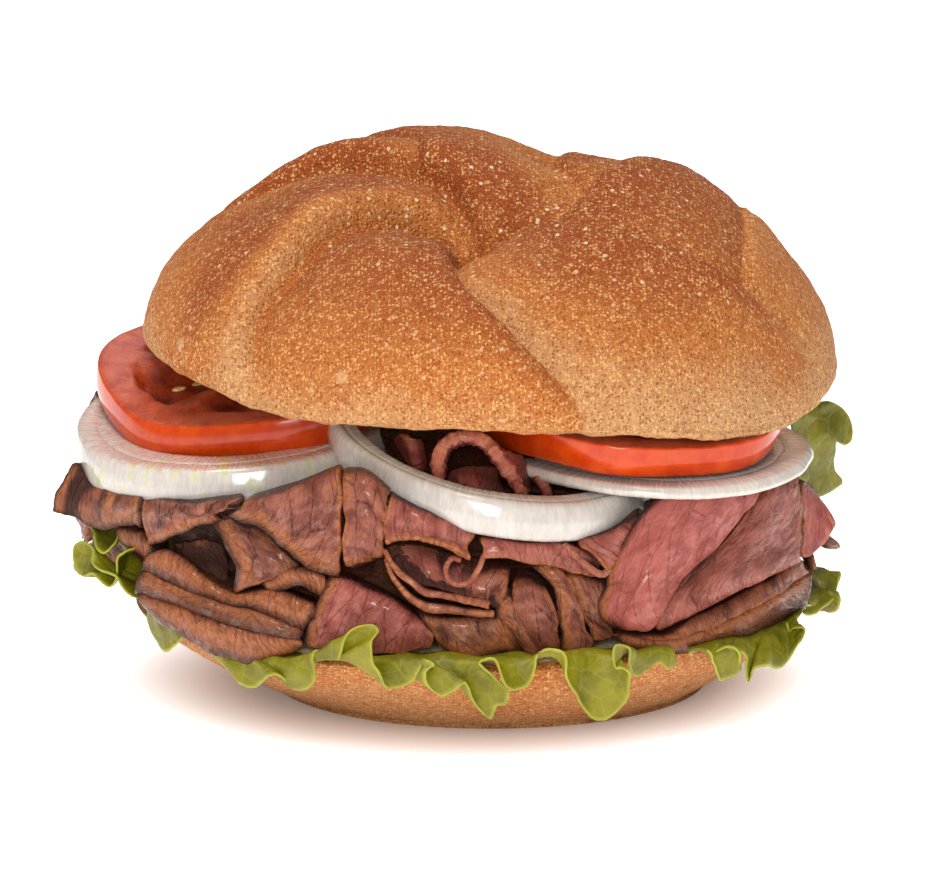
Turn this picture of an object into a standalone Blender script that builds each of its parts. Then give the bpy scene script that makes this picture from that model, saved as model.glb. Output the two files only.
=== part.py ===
"""A roast beef sandwich on a knotted roll, modelled layer by layer at its real size.

From the table up: the roll's flat-bottomed heel, frilled lettuce leaves, a pile of thin folded
slices of roast beef, onion rings, tomato slices, and the domed crown of the roll with its knot.
The origin is the middle of the flat spot that the heel rests on, +Z is up, -Y is the front
and +X is the front's right. All lengths are in metres, and tables give theirs in millimetres.
"""

import math
import random

import bmesh
import bpy
import numpy as np
from mathutils import Vector, noise

MM = 0.001
CLEAR = 0.4 * MM

# The roll is 120 mm wide and sliced across. The crown sits a little higher at the left.
ROLL_WIDTH = 120 * MM
ROLL_DEPTH = 115 * MM
HEEL_WIDTH = 117 * MM
HEEL_DEPTH = 113 * MM
HEEL_SHIFT = -4 * MM
HEEL_HEIGHT = 17 * MM
HEEL_FOOT = 37 * MM
HEEL_LUMPS = 1.0 * MM
HEEL_SLOPE = 1.35
CROWN_CUT_Z = 56.4 * MM
CROWN_ROLL = -0.045
CROWN_LIP = 3 * MM
CROWN_DOME = 28.8 * MM
CROWN_LEAN = 0.22
CRUST_LUMPS = 0.5 * MM
CROWN_TRIANGLES = 2800

# The knot is a swirl of strips, each lying over its neighbour. A crease is given by its way across
# the plan, out from the knot. The strip on its left-hand side lies on top where "over" is 1.
# A crease with a "trough" sinks more widely on its lower side.
KNOT = (-4.5, -16.5)
CREASES = [
    {"over": -1,
     "plan": [(-4, -16), (-11, -10.5), (-22, -15.5), (-33, -26), (-40, -34), (-42, -46)]},
    {"over": -1, "plan": [(-4.5, -18), (-6.5, -29), (-4, -41), (4, -49), (12, -54), (20, -57)]},
    {"over": -1, "plan": [(-2, -16), (9, -17.5), (19, -22.5), (33, -24.5), (47, -21), (58, -16)]},
    {"rise": 0.5, "over": -1, "plan": [(6, -18), (14, -8), (17, -2), (21, 7), (25, 17), (33, 33)]},
    {"over": -1, "trough": 15, "plan": [(17, -2), (14, 5), (11, 14), (11, 26), (13, 42)]},
    {"over": -1, "plan": [(-2, -13), (-6.5, -2), (-12, 3.5), (-20, 9), (-30, 12), (-46, 13)]},
    {"rise": 0.35, "over": 1, "plan": [(43.5, 16), (44, 2), (44, -10), (44, -21)]},
    {"rise": 0.35, "over": -1, "plan": [(-12, 5), (-13, 16), (-21, 30), (-33, 42)]},
]
FOLD_RISE = 2.7 * MM
FOLD_DIP = 3.0 * MM
FOLD_EDGE = 1.5 * MM
FOLD_BACK = 20 * MM
FOLD_TROUGH = 6
KNOT_DIP = 7 * MM
KNOT_SPREAD = 13 * MM
LOW_STRIP = (17, 24)
LOW_STRIP_DIP = 3.4 * MM
LOW_STRIP_SPREAD = 11 * MM
DOME_TRIM = [(-60, -1.0), (-50, -1.9), (-40, -1.6), (-30, 0), (-15, 1.0), (0, 1.0), (10, 0),
             (22, 1.4), (32, 1.9), (41, 1.5), (46, 0), (50, -1.5), (60, -2.8)]

# The filling's plan is an oval that reaches past the roll at the left.
PILE_MIDDLE = (-7, 0)
PILE_HALF = (62, 53)
CORE_SHARE = 0.80
CORE_LOW = 19.0
CORE_HIGH = 45.5
SLICE_THICK = 1.9
SLICE_LEAD = 13
BEEF_TRIANGLES = 4300
SMOOTH_UNDER = math.radians(38)

# The slices of beef that show from the front, by height and from left to right, in millimetres
# and degrees. A slice leaves the pile level at "at", heading "face" (0 is the front, 90 the
# right), and then follows "path", a list of (length, turn down). "tilt" lifts its right side.
FRONT_SLICES = [
    {"at": (-66, -17, 40), "face": -60, "width": 25, "path": [(4, 70), (8, 14)], "ripple": 1.2},
    {"at": (-57, -29, 36), "face": -44, "width": 15, "path": [(4, 75), (4, 8)], "tilt": 8},
    {"at": (-51, -35, 39), "face": -34, "width": 20, "path": [(3, 72), (5, 6)], "tilt": 17},
    {"at": (-60, 14, 41), "face": -75, "width": 14, "path": [(6, -24), (3, 0)], "ripple": 1.4},
    {"at": (-35, -44.5, 42), "face": -12, "width": 21, "path": [(4, 80), (6, 5)], "tilt": -19},
    {"at": (-39, -43, 35), "face": -20, "width": 14, "path": [(3, 74), (6, 3)], "tilt": 20},
    {"at": (-50, -38, 30), "face": -35, "width": 15, "path": [(4, 80), (3, 40)], "tilt": -8},
    {"at": (-45, -39.5, 27.5), "face": -28, "width": 34, "path": [(5, 52), (3, 30)], "tilt": -15},
    {"at": (-46, -40.5, 24), "face": -28, "width": 33, "path": [(5, 45), (4, 10)], "tilt": -12},
    {"at": (-45, -40, 20.5), "face": -28, "width": 30, "path": [(5, 38), (6, 16)], "tilt": -6},
    {"at": (-21, -49, 42), "face": -8, "width": 9, "path": [(3, 82), (5, 4), (5, 110)]},
    {"at": (-20, -48.5, 28.5), "face": -9, "width": 19, "path": [(4, 62), (7, 6)], "tilt": -12},
    {"at": (-10, -50.5, 40.5), "face": -2, "width": 15, "path": [(3, 80), (2.5, 5)], "tilt": -6},
    {"at": (-9, -50, 36), "face": 2, "width": 17, "path": [(3, 76), (4, 4), (2, 50)], "tilt": -19},
    {"at": (-10, -49, 32), "face": 2, "width": 19, "path": [(4, 72), (2, 5), (2, 70)], "tilt": -17},
    {"at": (-4, -48.5, 25), "face": 3, "width": 18, "path": [(4, 60), (7, 8)]},
    {"at": (1, -50.5, 35.5), "face": 2, "width": 7.5, "path": [(3, 80), (7, 3)]},
    {"at": (6, -50, 38.5), "face": 6, "width": 17, "path": [(3, 74), (3, 4)], "tilt": -7},
    {"at": (6.5, -49, 30.5), "face": 7, "width": 11.5, "path": [(3, 72), (9, 4)], "bow": 0.03},
    {"at": (13, -47.5, 33), "face": 13, "width": 9, "path": [(4, 76), (12, 2)], "skew": 3},
    {"at": (18, -45.5, 33.5), "face": 18, "width": 7, "path": [(4, 72), (12, 2)], "skew": 3},
    {"at": (19, -47.5, 38), "face": 16, "width": 13, "path": [(3, 78), (5, 4)], "taper": 0.5},
    {"at": (35.5, -40.5, 42), "face": 24, "width": 20, "path": [(5, 76), (16, 4), (2, 60)],
     "taper": 0.5, "skew": -10},
    {"at": (46, -29, 38), "face": 44, "width": 33, "path": [(5, 80), (9, 10), (4, 90)], "tilt": 13},
    {"at": (52, -10, 38), "face": 76, "width": 17, "path": [(4, 62), (8, 18)], "ripple": 1.4},
    {"at": (43, -30.5, 25), "face": 43, "width": 44, "path": [(4, 64), (6, 14)], "tilt": 5},
]

# Slices that stand on edge between the rings, seen from their thin side: a looped one in front
# and three that show through the middle onion ring.
EDGE_SLICES = [
    {"at": (1, -50, 34.5), "face": -90, "width": 11, "lead": 3,
     "path": [(5, 30), (7, -200), (3, -60)]},
    {"at": (-10, -40, 43), "face": 90, "pitch": 84, "width": 14, "lead": 4,
     "path": [(5, 8), (9, 130), (4, 30)]},
    {"at": (0.5, -41, 49), "face": 90, "pitch": -50, "width": 8, "lead": 1, "path": [(9, 8)]},
    {"at": (6.5, -40, 47.5), "face": 90, "pitch": -62, "width": 8, "lead": 1, "path": [(7, -12)]},
]

# Slices round the sides and back hang in two rows, drawn by a seeded rule.
BACK_ROWS = [
    {"count": 5, "from": 66, "to": 296, "height": 29.5, "reach": 0.93},
    {"count": 4, "from": 92, "to": 284, "height": 38, "reach": 0.97},
]
BACK_PATHS = [
    [(5, 74), (7, 6)],
    [(5, 80), (5, 10), (4, 100)],
    [(4, 66), (5, 20), (3, 60)],
]
BACK_SEED = 71

# Onion rings and tomato slices: "at" is the middle of the underside, "roll" lifts the right side
# and "pitch" the back, and a soft slice droops by "droop" at its rim in the direction "toward".
# The middle ring is a cut one: its arc starts at the left and runs round the front.
ONION_STEPS = 30
ONIONS = [
    {"name": "onion_left", "at": (-45.5, -5, 40.3), "radius": 27, "high": 6, "wall": 6,
     "roll": 6, "pitch": 3},
    {"name": "onion_middle", "at": (0.5, -25, 42.4), "radius": 29, "high": 6.7, "wall": 4.8,
     "roll": -9, "pitch": 9, "arc": (190, 375)},
    {"name": "onion_right", "at": (24.5, -18, 44.4), "radius": 30.5, "high": 2.2, "wall": 10,
     "droop": 1.8, "toward": 35},
    {"name": "onion_back", "at": (-8, 31, 40.4), "radius": 23, "high": 5, "wall": 5.5},
]
TOMATOES = [
    {"name": "tomato_left", "at": (-38.5, 0, 49.8), "radius": 29, "high": 6.6, "turn": 12,
     "droop": 6, "toward": -53},
    {"name": "tomato_right", "at": (24, -20, 48.4), "radius": 27.5, "high": 5.8, "turn": 40,
     "droop": 2.8, "toward": 30},
    {"name": "tomato_back", "at": (11, 35, 48.5), "radius": 21, "high": 6.2, "turn": 70,
     "droop": 2, "toward": 170},
]
SEED_ROOMS = 6
ROOM_DEPTH = 1.1

# Each lettuce leaf lies on the heel over a stretch of its rim, in degrees from the front and
# positive to the right. Its edge hangs in frills over the crust, or sticks out where it isn't
# laid down: "hang" is the way it falls and "swing" how much the frills change that, in degrees.
LEAVES = [
    {"name": "lettuce_front", "from": -38, "to": 34,
     "reach": 9.5, "hang": 62, "swing": 30, "frill": 12},
    {"name": "lettuce_right", "from": 37, "to": 72,
     "reach": 7.5, "hang": 42, "swing": 34, "frill": 12},
    {"name": "lettuce_front_left", "from": -63, "to": -44,
     "reach": 8, "hang": 48, "swing": 25, "frill": 10},
    {"name": "lettuce_left", "from": -112, "to": -66,
     "reach": 10, "hang": -10, "swing": 36, "frill": 13},
    {"name": "lettuce_back", "from": 92, "to": 240,
     "reach": 5, "hang": 50, "swing": 30, "frill": 22},
]
UPPER_LEAF_TURN = 104
UPPER_LEAF_RUN = [(42, 41.8), (48, 43), (53, 47.5), (58, 47.5), (61.5, 41), (62, 31)]
LEAF_THICK = 0.9
LEAF_CLEAR = 1.0
LEAF_INNER = 46
LEAF_RIM = 59.2
LEAF_LEVEL = 18.0
LEAF_RINGS = 3
STEPS_A_FRILL = 5


def material(name, colour, roughness):
    """A plain material in the piece's own colour."""
    made = bpy.data.materials.new(name)
    made.use_nodes = True
    shader = made.node_tree.nodes["Principled BSDF"]
    shader.inputs["Base Color"].default_value = (*colour, 1)
    shader.inputs["Roughness"].default_value = roughness
    shader.inputs["Metallic"].default_value = 0.0
    return made


def new_object(name, mesh, surface, group):
    """Links a mesh as a named object of the group, shaded smooth but for its sharp edges."""
    mesh.name = name
    mesh.shade_smooth()
    mesh.set_sharp_from_angle(angle=SMOOTH_UNDER)
    mesh.materials.clear()
    mesh.materials.append(surface)
    made = bpy.data.objects.new(name, mesh)
    group.objects.link(made)
    return made


def new_collection(name):
    """A fresh collection in the scene."""
    made = bpy.data.collections.new(name)
    bpy.context.scene.collection.children.link(made)
    return made


def coordinates(mesh):
    """The mesh's points, one to a row."""
    points = np.empty(len(mesh.vertices) * 3, np.float32)
    mesh.vertices.foreach_get("co", points)
    return points.reshape(-1, 3).astype(float)


def set_coordinates(mesh, points):
    """Moves the mesh's points to these rows."""
    mesh.vertices.foreach_set("co", points.astype(np.float32).ravel())
    mesh.update()


def lumps(points, grain, seed):
    """Smooth noise from -1 to 1 at each point. Grain is the size of a lump."""
    shift = Vector((seed * 3.7, seed * 1.9, seed * 5.3))
    return np.array([noise.noise(Vector(p) / grain + shift) for p in points])


def smooth_curve(points, count):
    """Points along a Catmull-Rom curve through the given ones."""
    given = np.array(points, float)
    ends = np.vstack([2 * given[0] - given[1], given, 2 * given[-1] - given[-2]])
    found = []
    for place in np.linspace(0, len(given) - 1, count):
        start = min(int(place), len(given) - 2)
        t = place - start
        a, b, c, d = ends[start:start + 4]
        found.append(0.5 * (2 * b + (c - a) * t + (2 * a - 5 * b + 4 * c - d) * t * t
                            + (3 * b - a - 3 * c + d) * t ** 3))
    return np.array(found)


def outward_facing(mesh):
    """The same closed mesh in triangles that face out."""
    work = bmesh.new()
    work.from_mesh(mesh)
    bmesh.ops.triangulate(work, faces=work.faces[:])
    bmesh.ops.recalc_face_normals(work, faces=work.faces[:])
    if work.calc_volume(signed=True) < 0:
        bmesh.ops.reverse_faces(work, faces=work.faces[:])
    work.to_mesh(mesh)
    work.free()
    return mesh


def with_modifiers(mesh, add):
    """The mesh with modifiers applied. The function "add" puts them on its object."""
    holder = bpy.data.objects.new("holder", mesh)
    bpy.context.scene.collection.objects.link(holder)
    add(holder)
    bpy.context.view_layer.update()
    graph = bpy.context.evaluated_depsgraph_get()
    made = bpy.data.meshes.new_from_object(holder.evaluated_get(graph))
    bpy.data.objects.remove(holder)
    return made


def thinned(mesh, triangles):
    """The mesh with about this many triangles, fewest where it is flat."""
    def thin(holder):
        fewer = holder.modifiers.new("fewer", "DECIMATE")
        fewer.ratio = min(1, triangles / len(mesh.polygons))

    return outward_facing(with_modifiers(mesh, thin))


def turned_ball(segments, rings, profile):
    """A ball with its rings moved onto a profile of (radius, height) points, top first."""
    work = bmesh.new()
    bmesh.ops.create_uvsphere(work, u_segments=segments, v_segments=rings, radius=1)
    bmesh.ops.triangulate(work, faces=work.faces[:])
    mesh = bpy.data.meshes.new("turned")
    work.to_mesh(mesh)
    work.free()
    points = coordinates(mesh)
    angle = np.arctan2(points[:, 1], points[:, 0])
    place = np.arccos(np.clip(points[:, 2], -1, 1)) / math.pi
    known = np.linspace(0, 1, len(profile))
    radius = np.interp(place, known, profile[:, 0])
    height = np.interp(place, known, profile[:, 1])
    set_coordinates(mesh, np.column_stack([radius * np.cos(angle), radius * np.sin(angle), height]))
    return mesh


def crease_relief(plan):
    """How far the knot's strips lift or sink the crust at points of the plan."""
    lift = np.zeros(len(plan))
    rows = np.arange(len(plan))
    for crease in CREASES:
        curve = smooth_curve(crease["plan"], 60) * MM
        along = np.gradient(curve, axis=0)
        along /= np.linalg.norm(along, axis=1)[:, None]
        apart = plan[:, None, :] - curve[None, :, :]
        far = np.linalg.norm(apart, axis=2)
        nearest = far.argmin(axis=1)
        ahead, gap, away = along[nearest], apart[rows, nearest], far[rows, nearest]
        side = np.sign(ahead[:, 0] * gap[:, 1] - ahead[:, 1] * gap[:, 0]) * crease["over"]
        share = nearest / (len(curve) - 1)
        past_end = np.abs((gap * ahead).sum(axis=1)) * ((share == 0) | (share == 1))
        strength = np.clip((1 - share) / 0.35, 0, 1) ** 0.7 * np.exp(-past_end / (5 * MM))
        edge = np.exp(-away / FOLD_EDGE)
        over = -FOLD_DIP * edge + FOLD_RISE * (1 - edge) * np.exp(-away / FOLD_BACK)
        under = -FOLD_DIP * np.exp(-away / (crease.get("trough", FOLD_TROUGH) * MM))
        lift += crease.get("rise", 1) * strength * np.where(side > 0, over, under)
    low = np.linalg.norm(plan - np.array(LOW_STRIP) * MM, axis=1)
    lift -= LOW_STRIP_DIP * np.exp(-(low / LOW_STRIP_SPREAD) ** 2)
    knot = np.linalg.norm(plan - np.array(KNOT) * MM, axis=1)
    return lift - KNOT_DIP * np.exp(-(knot / KNOT_SPREAD) ** 2)


def crown(group, surface):
    """The crown: a leaning dome with the knot's strips on it, cut flat beneath."""
    out = np.sin(np.linspace(0, math.pi / 2, 60))
    dome = [(r, CROWN_DOME * (1 - r ** 3) ** 0.56) for r in out[:-1]] + [(1, 0)]
    under = [(r, -CROWN_LIP * (1 - r ** 14) ** 0.5) for r in out[::-1]]
    mesh = turned_ball(180, 72, np.array(dome + under[1:]))
    points = coordinates(mesh)
    plan = points[:, :2] * [ROLL_WIDTH / 2, ROLL_DEPTH / 2]
    top = points[:, 2] > 0
    high = points[:, 2] * np.where(top, 1 + CROWN_LEAN * points[:, 1], 1)
    points = np.column_stack([plan, high])
    outward = points / np.array([ROLL_WIDTH / 2, ROLL_DEPTH / 2, CROWN_DOME]) ** 2
    outward /= np.linalg.norm(outward, axis=1)[:, None]
    on_top = np.clip(high / (8 * MM), 0, 1)
    relief = crease_relief(plan) * on_top
    relief += lumps(points, 14 * MM, 1) * CRUST_LUMPS * top
    points += outward * relief[:, None]
    trim = np.array(DOME_TRIM) * MM
    points[:, 2] += np.interp(plan[:, 0], trim[:, 0], trim[:, 1]) * on_top
    points[:, 2] += CROWN_CUT_Z + CROWN_LIP + CROWN_ROLL * points[:, 0]
    set_coordinates(mesh, points)

    return new_object("crown", thinned(mesh, CROWN_TRIANGLES), surface, group)


def heel(group, surface):
    """The heel: a shallow bowl of crust with a flat foot and a flat cut face."""
    wall = [(HEEL_FOOT + (HEEL_WIDTH / 2 - HEEL_FOOT) * (1 - fall ** HEEL_SLOPE),
             (HEEL_HEIGHT - 2 * MM) * (1 - fall)) for fall in np.linspace(0, 1, 11)]
    face = [(r, HEEL_HEIGHT - 2 * MM * (r / (HEEL_WIDTH / 2)) ** 16)
            for r in np.linspace(0, HEEL_WIDTH / 2, 12)[:-1]]
    foot = [(r, 0.0) for r in np.linspace(HEEL_FOOT, 0, 8)[1:]]
    mesh = turned_ball(36, 11, np.array(face + wall + foot))
    points = coordinates(mesh)
    points[:, 1] *= HEEL_DEPTH / HEEL_WIDTH
    side = (points[:, 2] > 0.5 * MM) & (points[:, 2] < HEEL_HEIGHT - 1 * MM)
    outward = points[:, :2] / np.maximum(np.linalg.norm(points[:, :2], axis=1), MM)[:, None]
    points[:, :2] += outward * ((lumps(points, 30 * MM, 4) - 1) * HEEL_LUMPS * side)[:, None]
    points[:, 0] += HEEL_SHIFT * points[:, 2] / HEEL_HEIGHT
    set_coordinates(mesh, points)
    return new_object("heel", outward_facing(mesh), surface, group)


def stations(path, count):
    """Places along arcs of (length, turn down): how far forward, how far up, and the heading.

    Bends get closer stations than straight stretches."""
    forward, up, heading, weight = [0.0], [0.0], [0.0], [0.0]
    pieces = 24
    for length, turn in path:
        for _ in range(pieces):
            angle = heading[-1] + math.radians(turn) / pieces
            middle = (heading[-1] + angle) / 2
            forward.append(forward[-1] + length / pieces * math.cos(middle))
            up.append(up[-1] - length / pieces * math.sin(middle))
            heading.append(angle)
            weight.append(weight[-1] + (length / 7 + abs(turn) / 26) / pieces)
    wanted = np.linspace(0, weight[-1], count + 1)
    return [np.interp(wanted, weight, values) for values in (forward, up, heading)]


def slice_points(cut, along, across):
    """The middle surface of one slice of meat as a grid of points, in millimetres."""
    face, tilt, pitch = (math.radians(cut.get(key, 0)) for key in ("face", "tilt", "pitch"))
    level = np.array([math.sin(face), -math.cos(face), 0]) * math.cos(pitch)
    ahead = level + np.array([0, 0, math.sin(pitch)])
    right = np.array([math.cos(face), math.sin(face), 0])
    above = np.cross(ahead, right)
    right, above = (right * math.cos(tilt) + above * math.sin(tilt),
                    above * math.cos(tilt) - right * math.sin(tilt))
    lead = cut.get("lead", SLICE_LEAD)
    forward, up, heading = stations([(lead, 0)] + cut["path"], along)
    share = np.linspace(0, 1, along + 1)
    narrow = 1 + (cut.get("taper", 1) - 1) * share
    corner = 1 - 0.25 * np.clip((share - 0.75) / 0.25, 0, 1) ** 2
    grid = np.empty((along + 1, across + 1, 3))
    for i in range(along + 1):
        for j, w in enumerate(np.linspace(-1, 1, across + 1)):
            offset = w * cut["width"] / 2 * narrow[i] * corner[i]
            wave = math.sin(w * 5 + sum(cut["at"]))
            ripple = cut.get("ripple", 0.7) * share[i] ** 1.5 * wave
            f = forward[i] - lead - cut.get("bow", 0.006) * offset ** 2
            f += ripple * math.sin(heading[i])
            u = up[i] + ripple * math.cos(heading[i])
            drift = cut.get("skew", 0) * share[i] ** 1.5
            grid[i, j] = np.array(cut["at"]) + ahead * f + above * u + right * (offset + drift)
    return grid


def sheet(points, thickness, grow=0.0):
    """A closed sheet about a grid of points in millimetres, larger all round by "grow"."""
    points = points * MM
    for axis in (0, 1):
        turned = np.moveaxis(points, axis, 0)
        for edge, inner in ((0, 1), (-1, -2)):
            step = turned[edge] - turned[inner]
            turned[edge] += step / (np.linalg.norm(step, axis=1)[:, None] + 1e-9) * grow * MM
    rows, columns = points.shape[:2]
    work = bmesh.new()
    bmesh.ops.create_grid(work, x_segments=columns - 1, y_segments=rows - 1, size=1)
    order = sorted(work.verts, key=lambda v: (round(v.co.y, 4), round(v.co.x, 4)))
    for vertex, place in zip(order, points.reshape(-1, 3)):
        vertex.co = place
    bmesh.ops.triangulate(work, faces=work.faces[:])
    mesh = bpy.data.meshes.new("sheet")
    work.to_mesh(mesh)
    work.free()

    def thicken(holder):
        solid = holder.modifiers.new("thickness", "SOLIDIFY")
        solid.thickness = (thickness + 2 * grow) * MM
        solid.offset = 0

    return outward_facing(with_modifiers(mesh, thicken))


def back_slices():
    """The slices that the front view doesn't show."""
    draw = random.Random(BACK_SEED)
    found = []
    for row in BACK_ROWS:
        step = (row["to"] - row["from"]) / row["count"]
        for i in range(row["count"]):
            angle = row["from"] + step * (i + 0.5) + draw.uniform(-4, 4)
            turn = math.radians(angle)
            spot = (PILE_MIDDLE[0] + PILE_HALF[0] * row["reach"] * math.sin(turn),
                    PILE_MIDDLE[1] - PILE_HALF[1] * row["reach"] * math.cos(turn),
                    row["height"] + draw.uniform(-1, 1))
            found.append({"at": spot, "face": angle, "width": draw.uniform(29, 36),
                          "tilt": draw.uniform(-10, 10), "path": draw.choice(BACK_PATHS)})
    return found


def core():
    """The middle of the pile, where the slices lie pressed on each other: it fills the rings."""
    levels = [(0.0, 1), (0.5, 1), (0.75, 0.97), (0.9, 0.86), (0.97, 0.6), (0.94, 0.35), (1.0, 0.12),
              (0.9, 0), (0.5, 0), (0, 0)]
    mesh = turned_ball(32, 12, smooth_curve(levels, 50))
    points = coordinates(mesh)
    points[:, 0] *= PILE_HALF[0] * CORE_SHARE * MM
    points[:, 1] *= PILE_HALF[1] * CORE_SHARE * MM
    points[:, 2] = (CORE_LOW + np.clip(points[:, 2], 0, 1) * (CORE_HIGH - CORE_LOW)) * MM
    wall = points[:, 2] > (CORE_LOW + 1) * MM
    outward = points[:, :2] / np.maximum(np.linalg.norm(points[:, :2], axis=1), MM)[:, None]
    points[:, :2] += outward * (lumps(points, 12 * MM, 8) * 2 * MM * wall)[:, None]
    points[:, :2] += np.array(PILE_MIDDLE) * MM
    set_coordinates(mesh, points)
    return outward_facing(mesh)


def lean(points, item):
    """Leans a flat piece, lets its outer side droop, and puts it in its place."""
    toward = math.radians(item.get("toward", 0))
    out = points[:, 0] * math.sin(toward) - points[:, 1] * math.cos(toward)
    points[:, 2] -= item.get("droop", 0) * (np.clip(out, 0, None) / item["radius"]) ** 2
    points[:, 2] += points[:, 0] * math.tan(math.radians(item.get("roll", 0)))
    points[:, 2] += points[:, 1] * math.tan(math.radians(item.get("pitch", 0)))
    return (points + item["at"]) * MM


def onion(item, grow=0.0):
    """One onion ring: a barrel-sided band with cut faces above and below."""
    outer, inner = item["radius"] + grow, item["radius"] - item["wall"] - grow
    low, high = -grow, item["high"] + grow
    section = [(outer - 0.6, low), (outer, item["high"] / 2), (outer - 0.6, high),
               (inner, high), (inner, low)]
    start, end = (math.radians(angle) for angle in item.get("arc", (0, 360)))
    whole = "arc" not in item
    reach = 0 if whole else grow / outer
    work = bmesh.new()
    sides = []
    for turn in np.linspace(start - reach, end + reach, ONION_STEPS + 1)[:-1 if whole else None]:
        wobble = 1 + 0.018 * math.sin(2 * turn + item["radius"]) + 0.01 * math.sin(3 * turn)
        sides.append([work.verts.new((r * wobble * math.cos(turn), r * wobble * math.sin(turn), z))
                      for r, z in section])
    pairs = list(zip(sides, sides[1:] + sides[:1]))[:None if whole else -1]
    for here, there in pairs:
        for j in range(len(section)):
            k = (j + 1) % len(section)
            work.faces.new((here[j], here[k], there[k], there[j]))
    if not whole:
        work.faces.new(sides[0])
        work.faces.new(sides[-1][::-1])
    mesh = bpy.data.meshes.new("onion")
    work.to_mesh(mesh)
    work.free()
    set_coordinates(mesh, lean(coordinates(mesh), item))
    return outward_facing(mesh)


def seed_room(share, turn):
    """How deep inside one of the tomato's seed rooms a place lies, from 0 to 1."""
    wave = (turn / (2 * math.pi) * SEED_ROOMS) % 1
    across = np.clip((0.5 - np.abs(wave - 0.5)) / 0.22, 0, 1)
    return across * np.clip((share - 0.22) / 0.12, 0, 1) * np.clip((0.80 - share) / 0.10, 0, 1)


def tomato(item, grow=0.0):
    """One tomato slice: a disc with a rounded skin and shallow seed rooms in both faces."""
    rings = [(0, 1), (0.28, 1), (0.5, 1), (0.7, 1), (0.84, 1), (0.965, 1), (1.01, 0.5),
             (0.965, 0), (0.84, 0), (0.5, 0), (0, 0)]
    mesh = turned_ball(28, 9, np.array(rings, float))
    points = coordinates(mesh)
    share = np.linalg.norm(points[:, :2], axis=1)
    turn = np.arctan2(points[:, 1], points[:, 0]) + math.radians(item["turn"])
    above, below = points[:, 2] > 0.99, points[:, 2] < 0.01
    uneven = 1 + 0.02 * np.cos(SEED_ROOMS * turn) + 0.015 * np.cos(2 * turn)
    points[:, :2] *= ((item["radius"] + grow) * uneven)[:, None]
    points[:, 2] = points[:, 2] * (item["high"] + 2 * grow) - grow
    points[:, 2] += (below * 1.0 - above) * seed_room(share, turn) * ROOM_DEPTH
    set_coordinates(mesh, lean(points, item))
    return outward_facing(mesh)


def leaf_points(leaf):
    """The middle surface of a leaf as a grid: flat on the heel, then hanging in frills."""
    start, end = math.radians(leaf["from"]), math.radians(leaf["to"])
    frills = round(LEAF_RIM * (end - start) / leaf["frill"])
    around = frills * STEPS_A_FRILL
    grid = np.empty((LEAF_RINGS + 2, around + 1, 3))
    for j in range(around + 1):
        share = j / around
        wave = 2 * math.pi * frills * share
        slow = math.sin(wave * 0.37 + leaf["reach"]) + 0.6 * math.sin(wave * 0.61 + leaf["hang"])
        close = min(1, share / 0.08, (1 - share) / 0.08)
        length = leaf["reach"] * (0.9 + 0.2 * slow) * (0.35 + 0.65 * close)
        fall = math.radians(leaf["hang"] + leaf["swing"] * math.sin(wave + 0.8 * slow))
        turn = start + (end - start) * share
        for i in range(LEAF_RINGS + 2):
            if i < 2:
                radius = LEAF_INNER + (LEAF_RIM - LEAF_INNER) * i
                height, slide = LEAF_LEVEL, 0
            else:
                out = (i - 1) / LEAF_RINGS
                radius = LEAF_RIM + length * out * math.cos(fall * min(1, out + 0.35)) + 0.3
                height = LEAF_LEVEL - length * out * math.sin(fall * min(1, out + 0.35))
                slide = 2.4 * out * math.sin(wave * 2 + slow)
            angle = turn + slide / radius
            grid[i, j] = (radius * math.sin(angle) + HEEL_SHIFT / MM,
                          -radius * math.cos(angle) * HEEL_DEPTH / HEEL_WIDTH, height)
    return grid


def upper_leaf_points():
    """The leaf that leaves the pile at the right, rises beside the rings and hangs down outside."""
    run = smooth_curve(UPPER_LEAF_RUN, 8)
    grid = np.empty((len(run), 7, 3))
    for i, (out, height) in enumerate(run):
        free = i / (len(run) - 1)
        for j, w in enumerate(np.linspace(-1, 1, 7)):
            turn = math.radians(UPPER_LEAF_TURN + w * 8 * (1 - 0.3 * free ** 3))
            ruffle = 1.3 * math.sin(w * 5 + free * 3) * free
            grid[i, j] = ((out + ruffle) * math.sin(turn), -(out + ruffle) * math.cos(turn),
                          height + math.sin(w * 4) * free)
    return grid


def joined(name, meshes):
    """One solid of many closed meshes, by a Boolean union on a collection of the rest."""
    pile = new_collection("pieces_of_" + name)
    for i, mesh in enumerate(meshes[1:]):
        pile.objects.link(bpy.data.objects.new(f"piece_{i + 1}", mesh))

    def join(holder):
        union = holder.modifiers.new("join", "BOOLEAN")
        union.operation = "UNION"
        union.solver = "MANIFOLD"
        union.operand_type = "COLLECTION"
        union.collection = pile

    made = with_modifiers(meshes[0], join)
    for piece in list(pile.objects):
        bpy.data.objects.remove(piece)
    bpy.data.collections.remove(pile)
    return outward_facing(made)


def cut_clear(mesh, cutters):
    """The mesh less each cutter in turn."""
    for cutter in cutters:
        tool = bpy.data.objects.new("tool", cutter)
        bpy.context.scene.collection.objects.link(tool)
        tool.hide_render = True

        def cut(holder, tool=tool):
            less = holder.modifiers.new("clear", "BOOLEAN")
            less.operation = "DIFFERENCE"
            less.solver = "MANIFOLD"
            less.object = tool

        mesh = with_modifiers(mesh, cut)
        bpy.data.objects.remove(tool)
    return mesh


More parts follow.
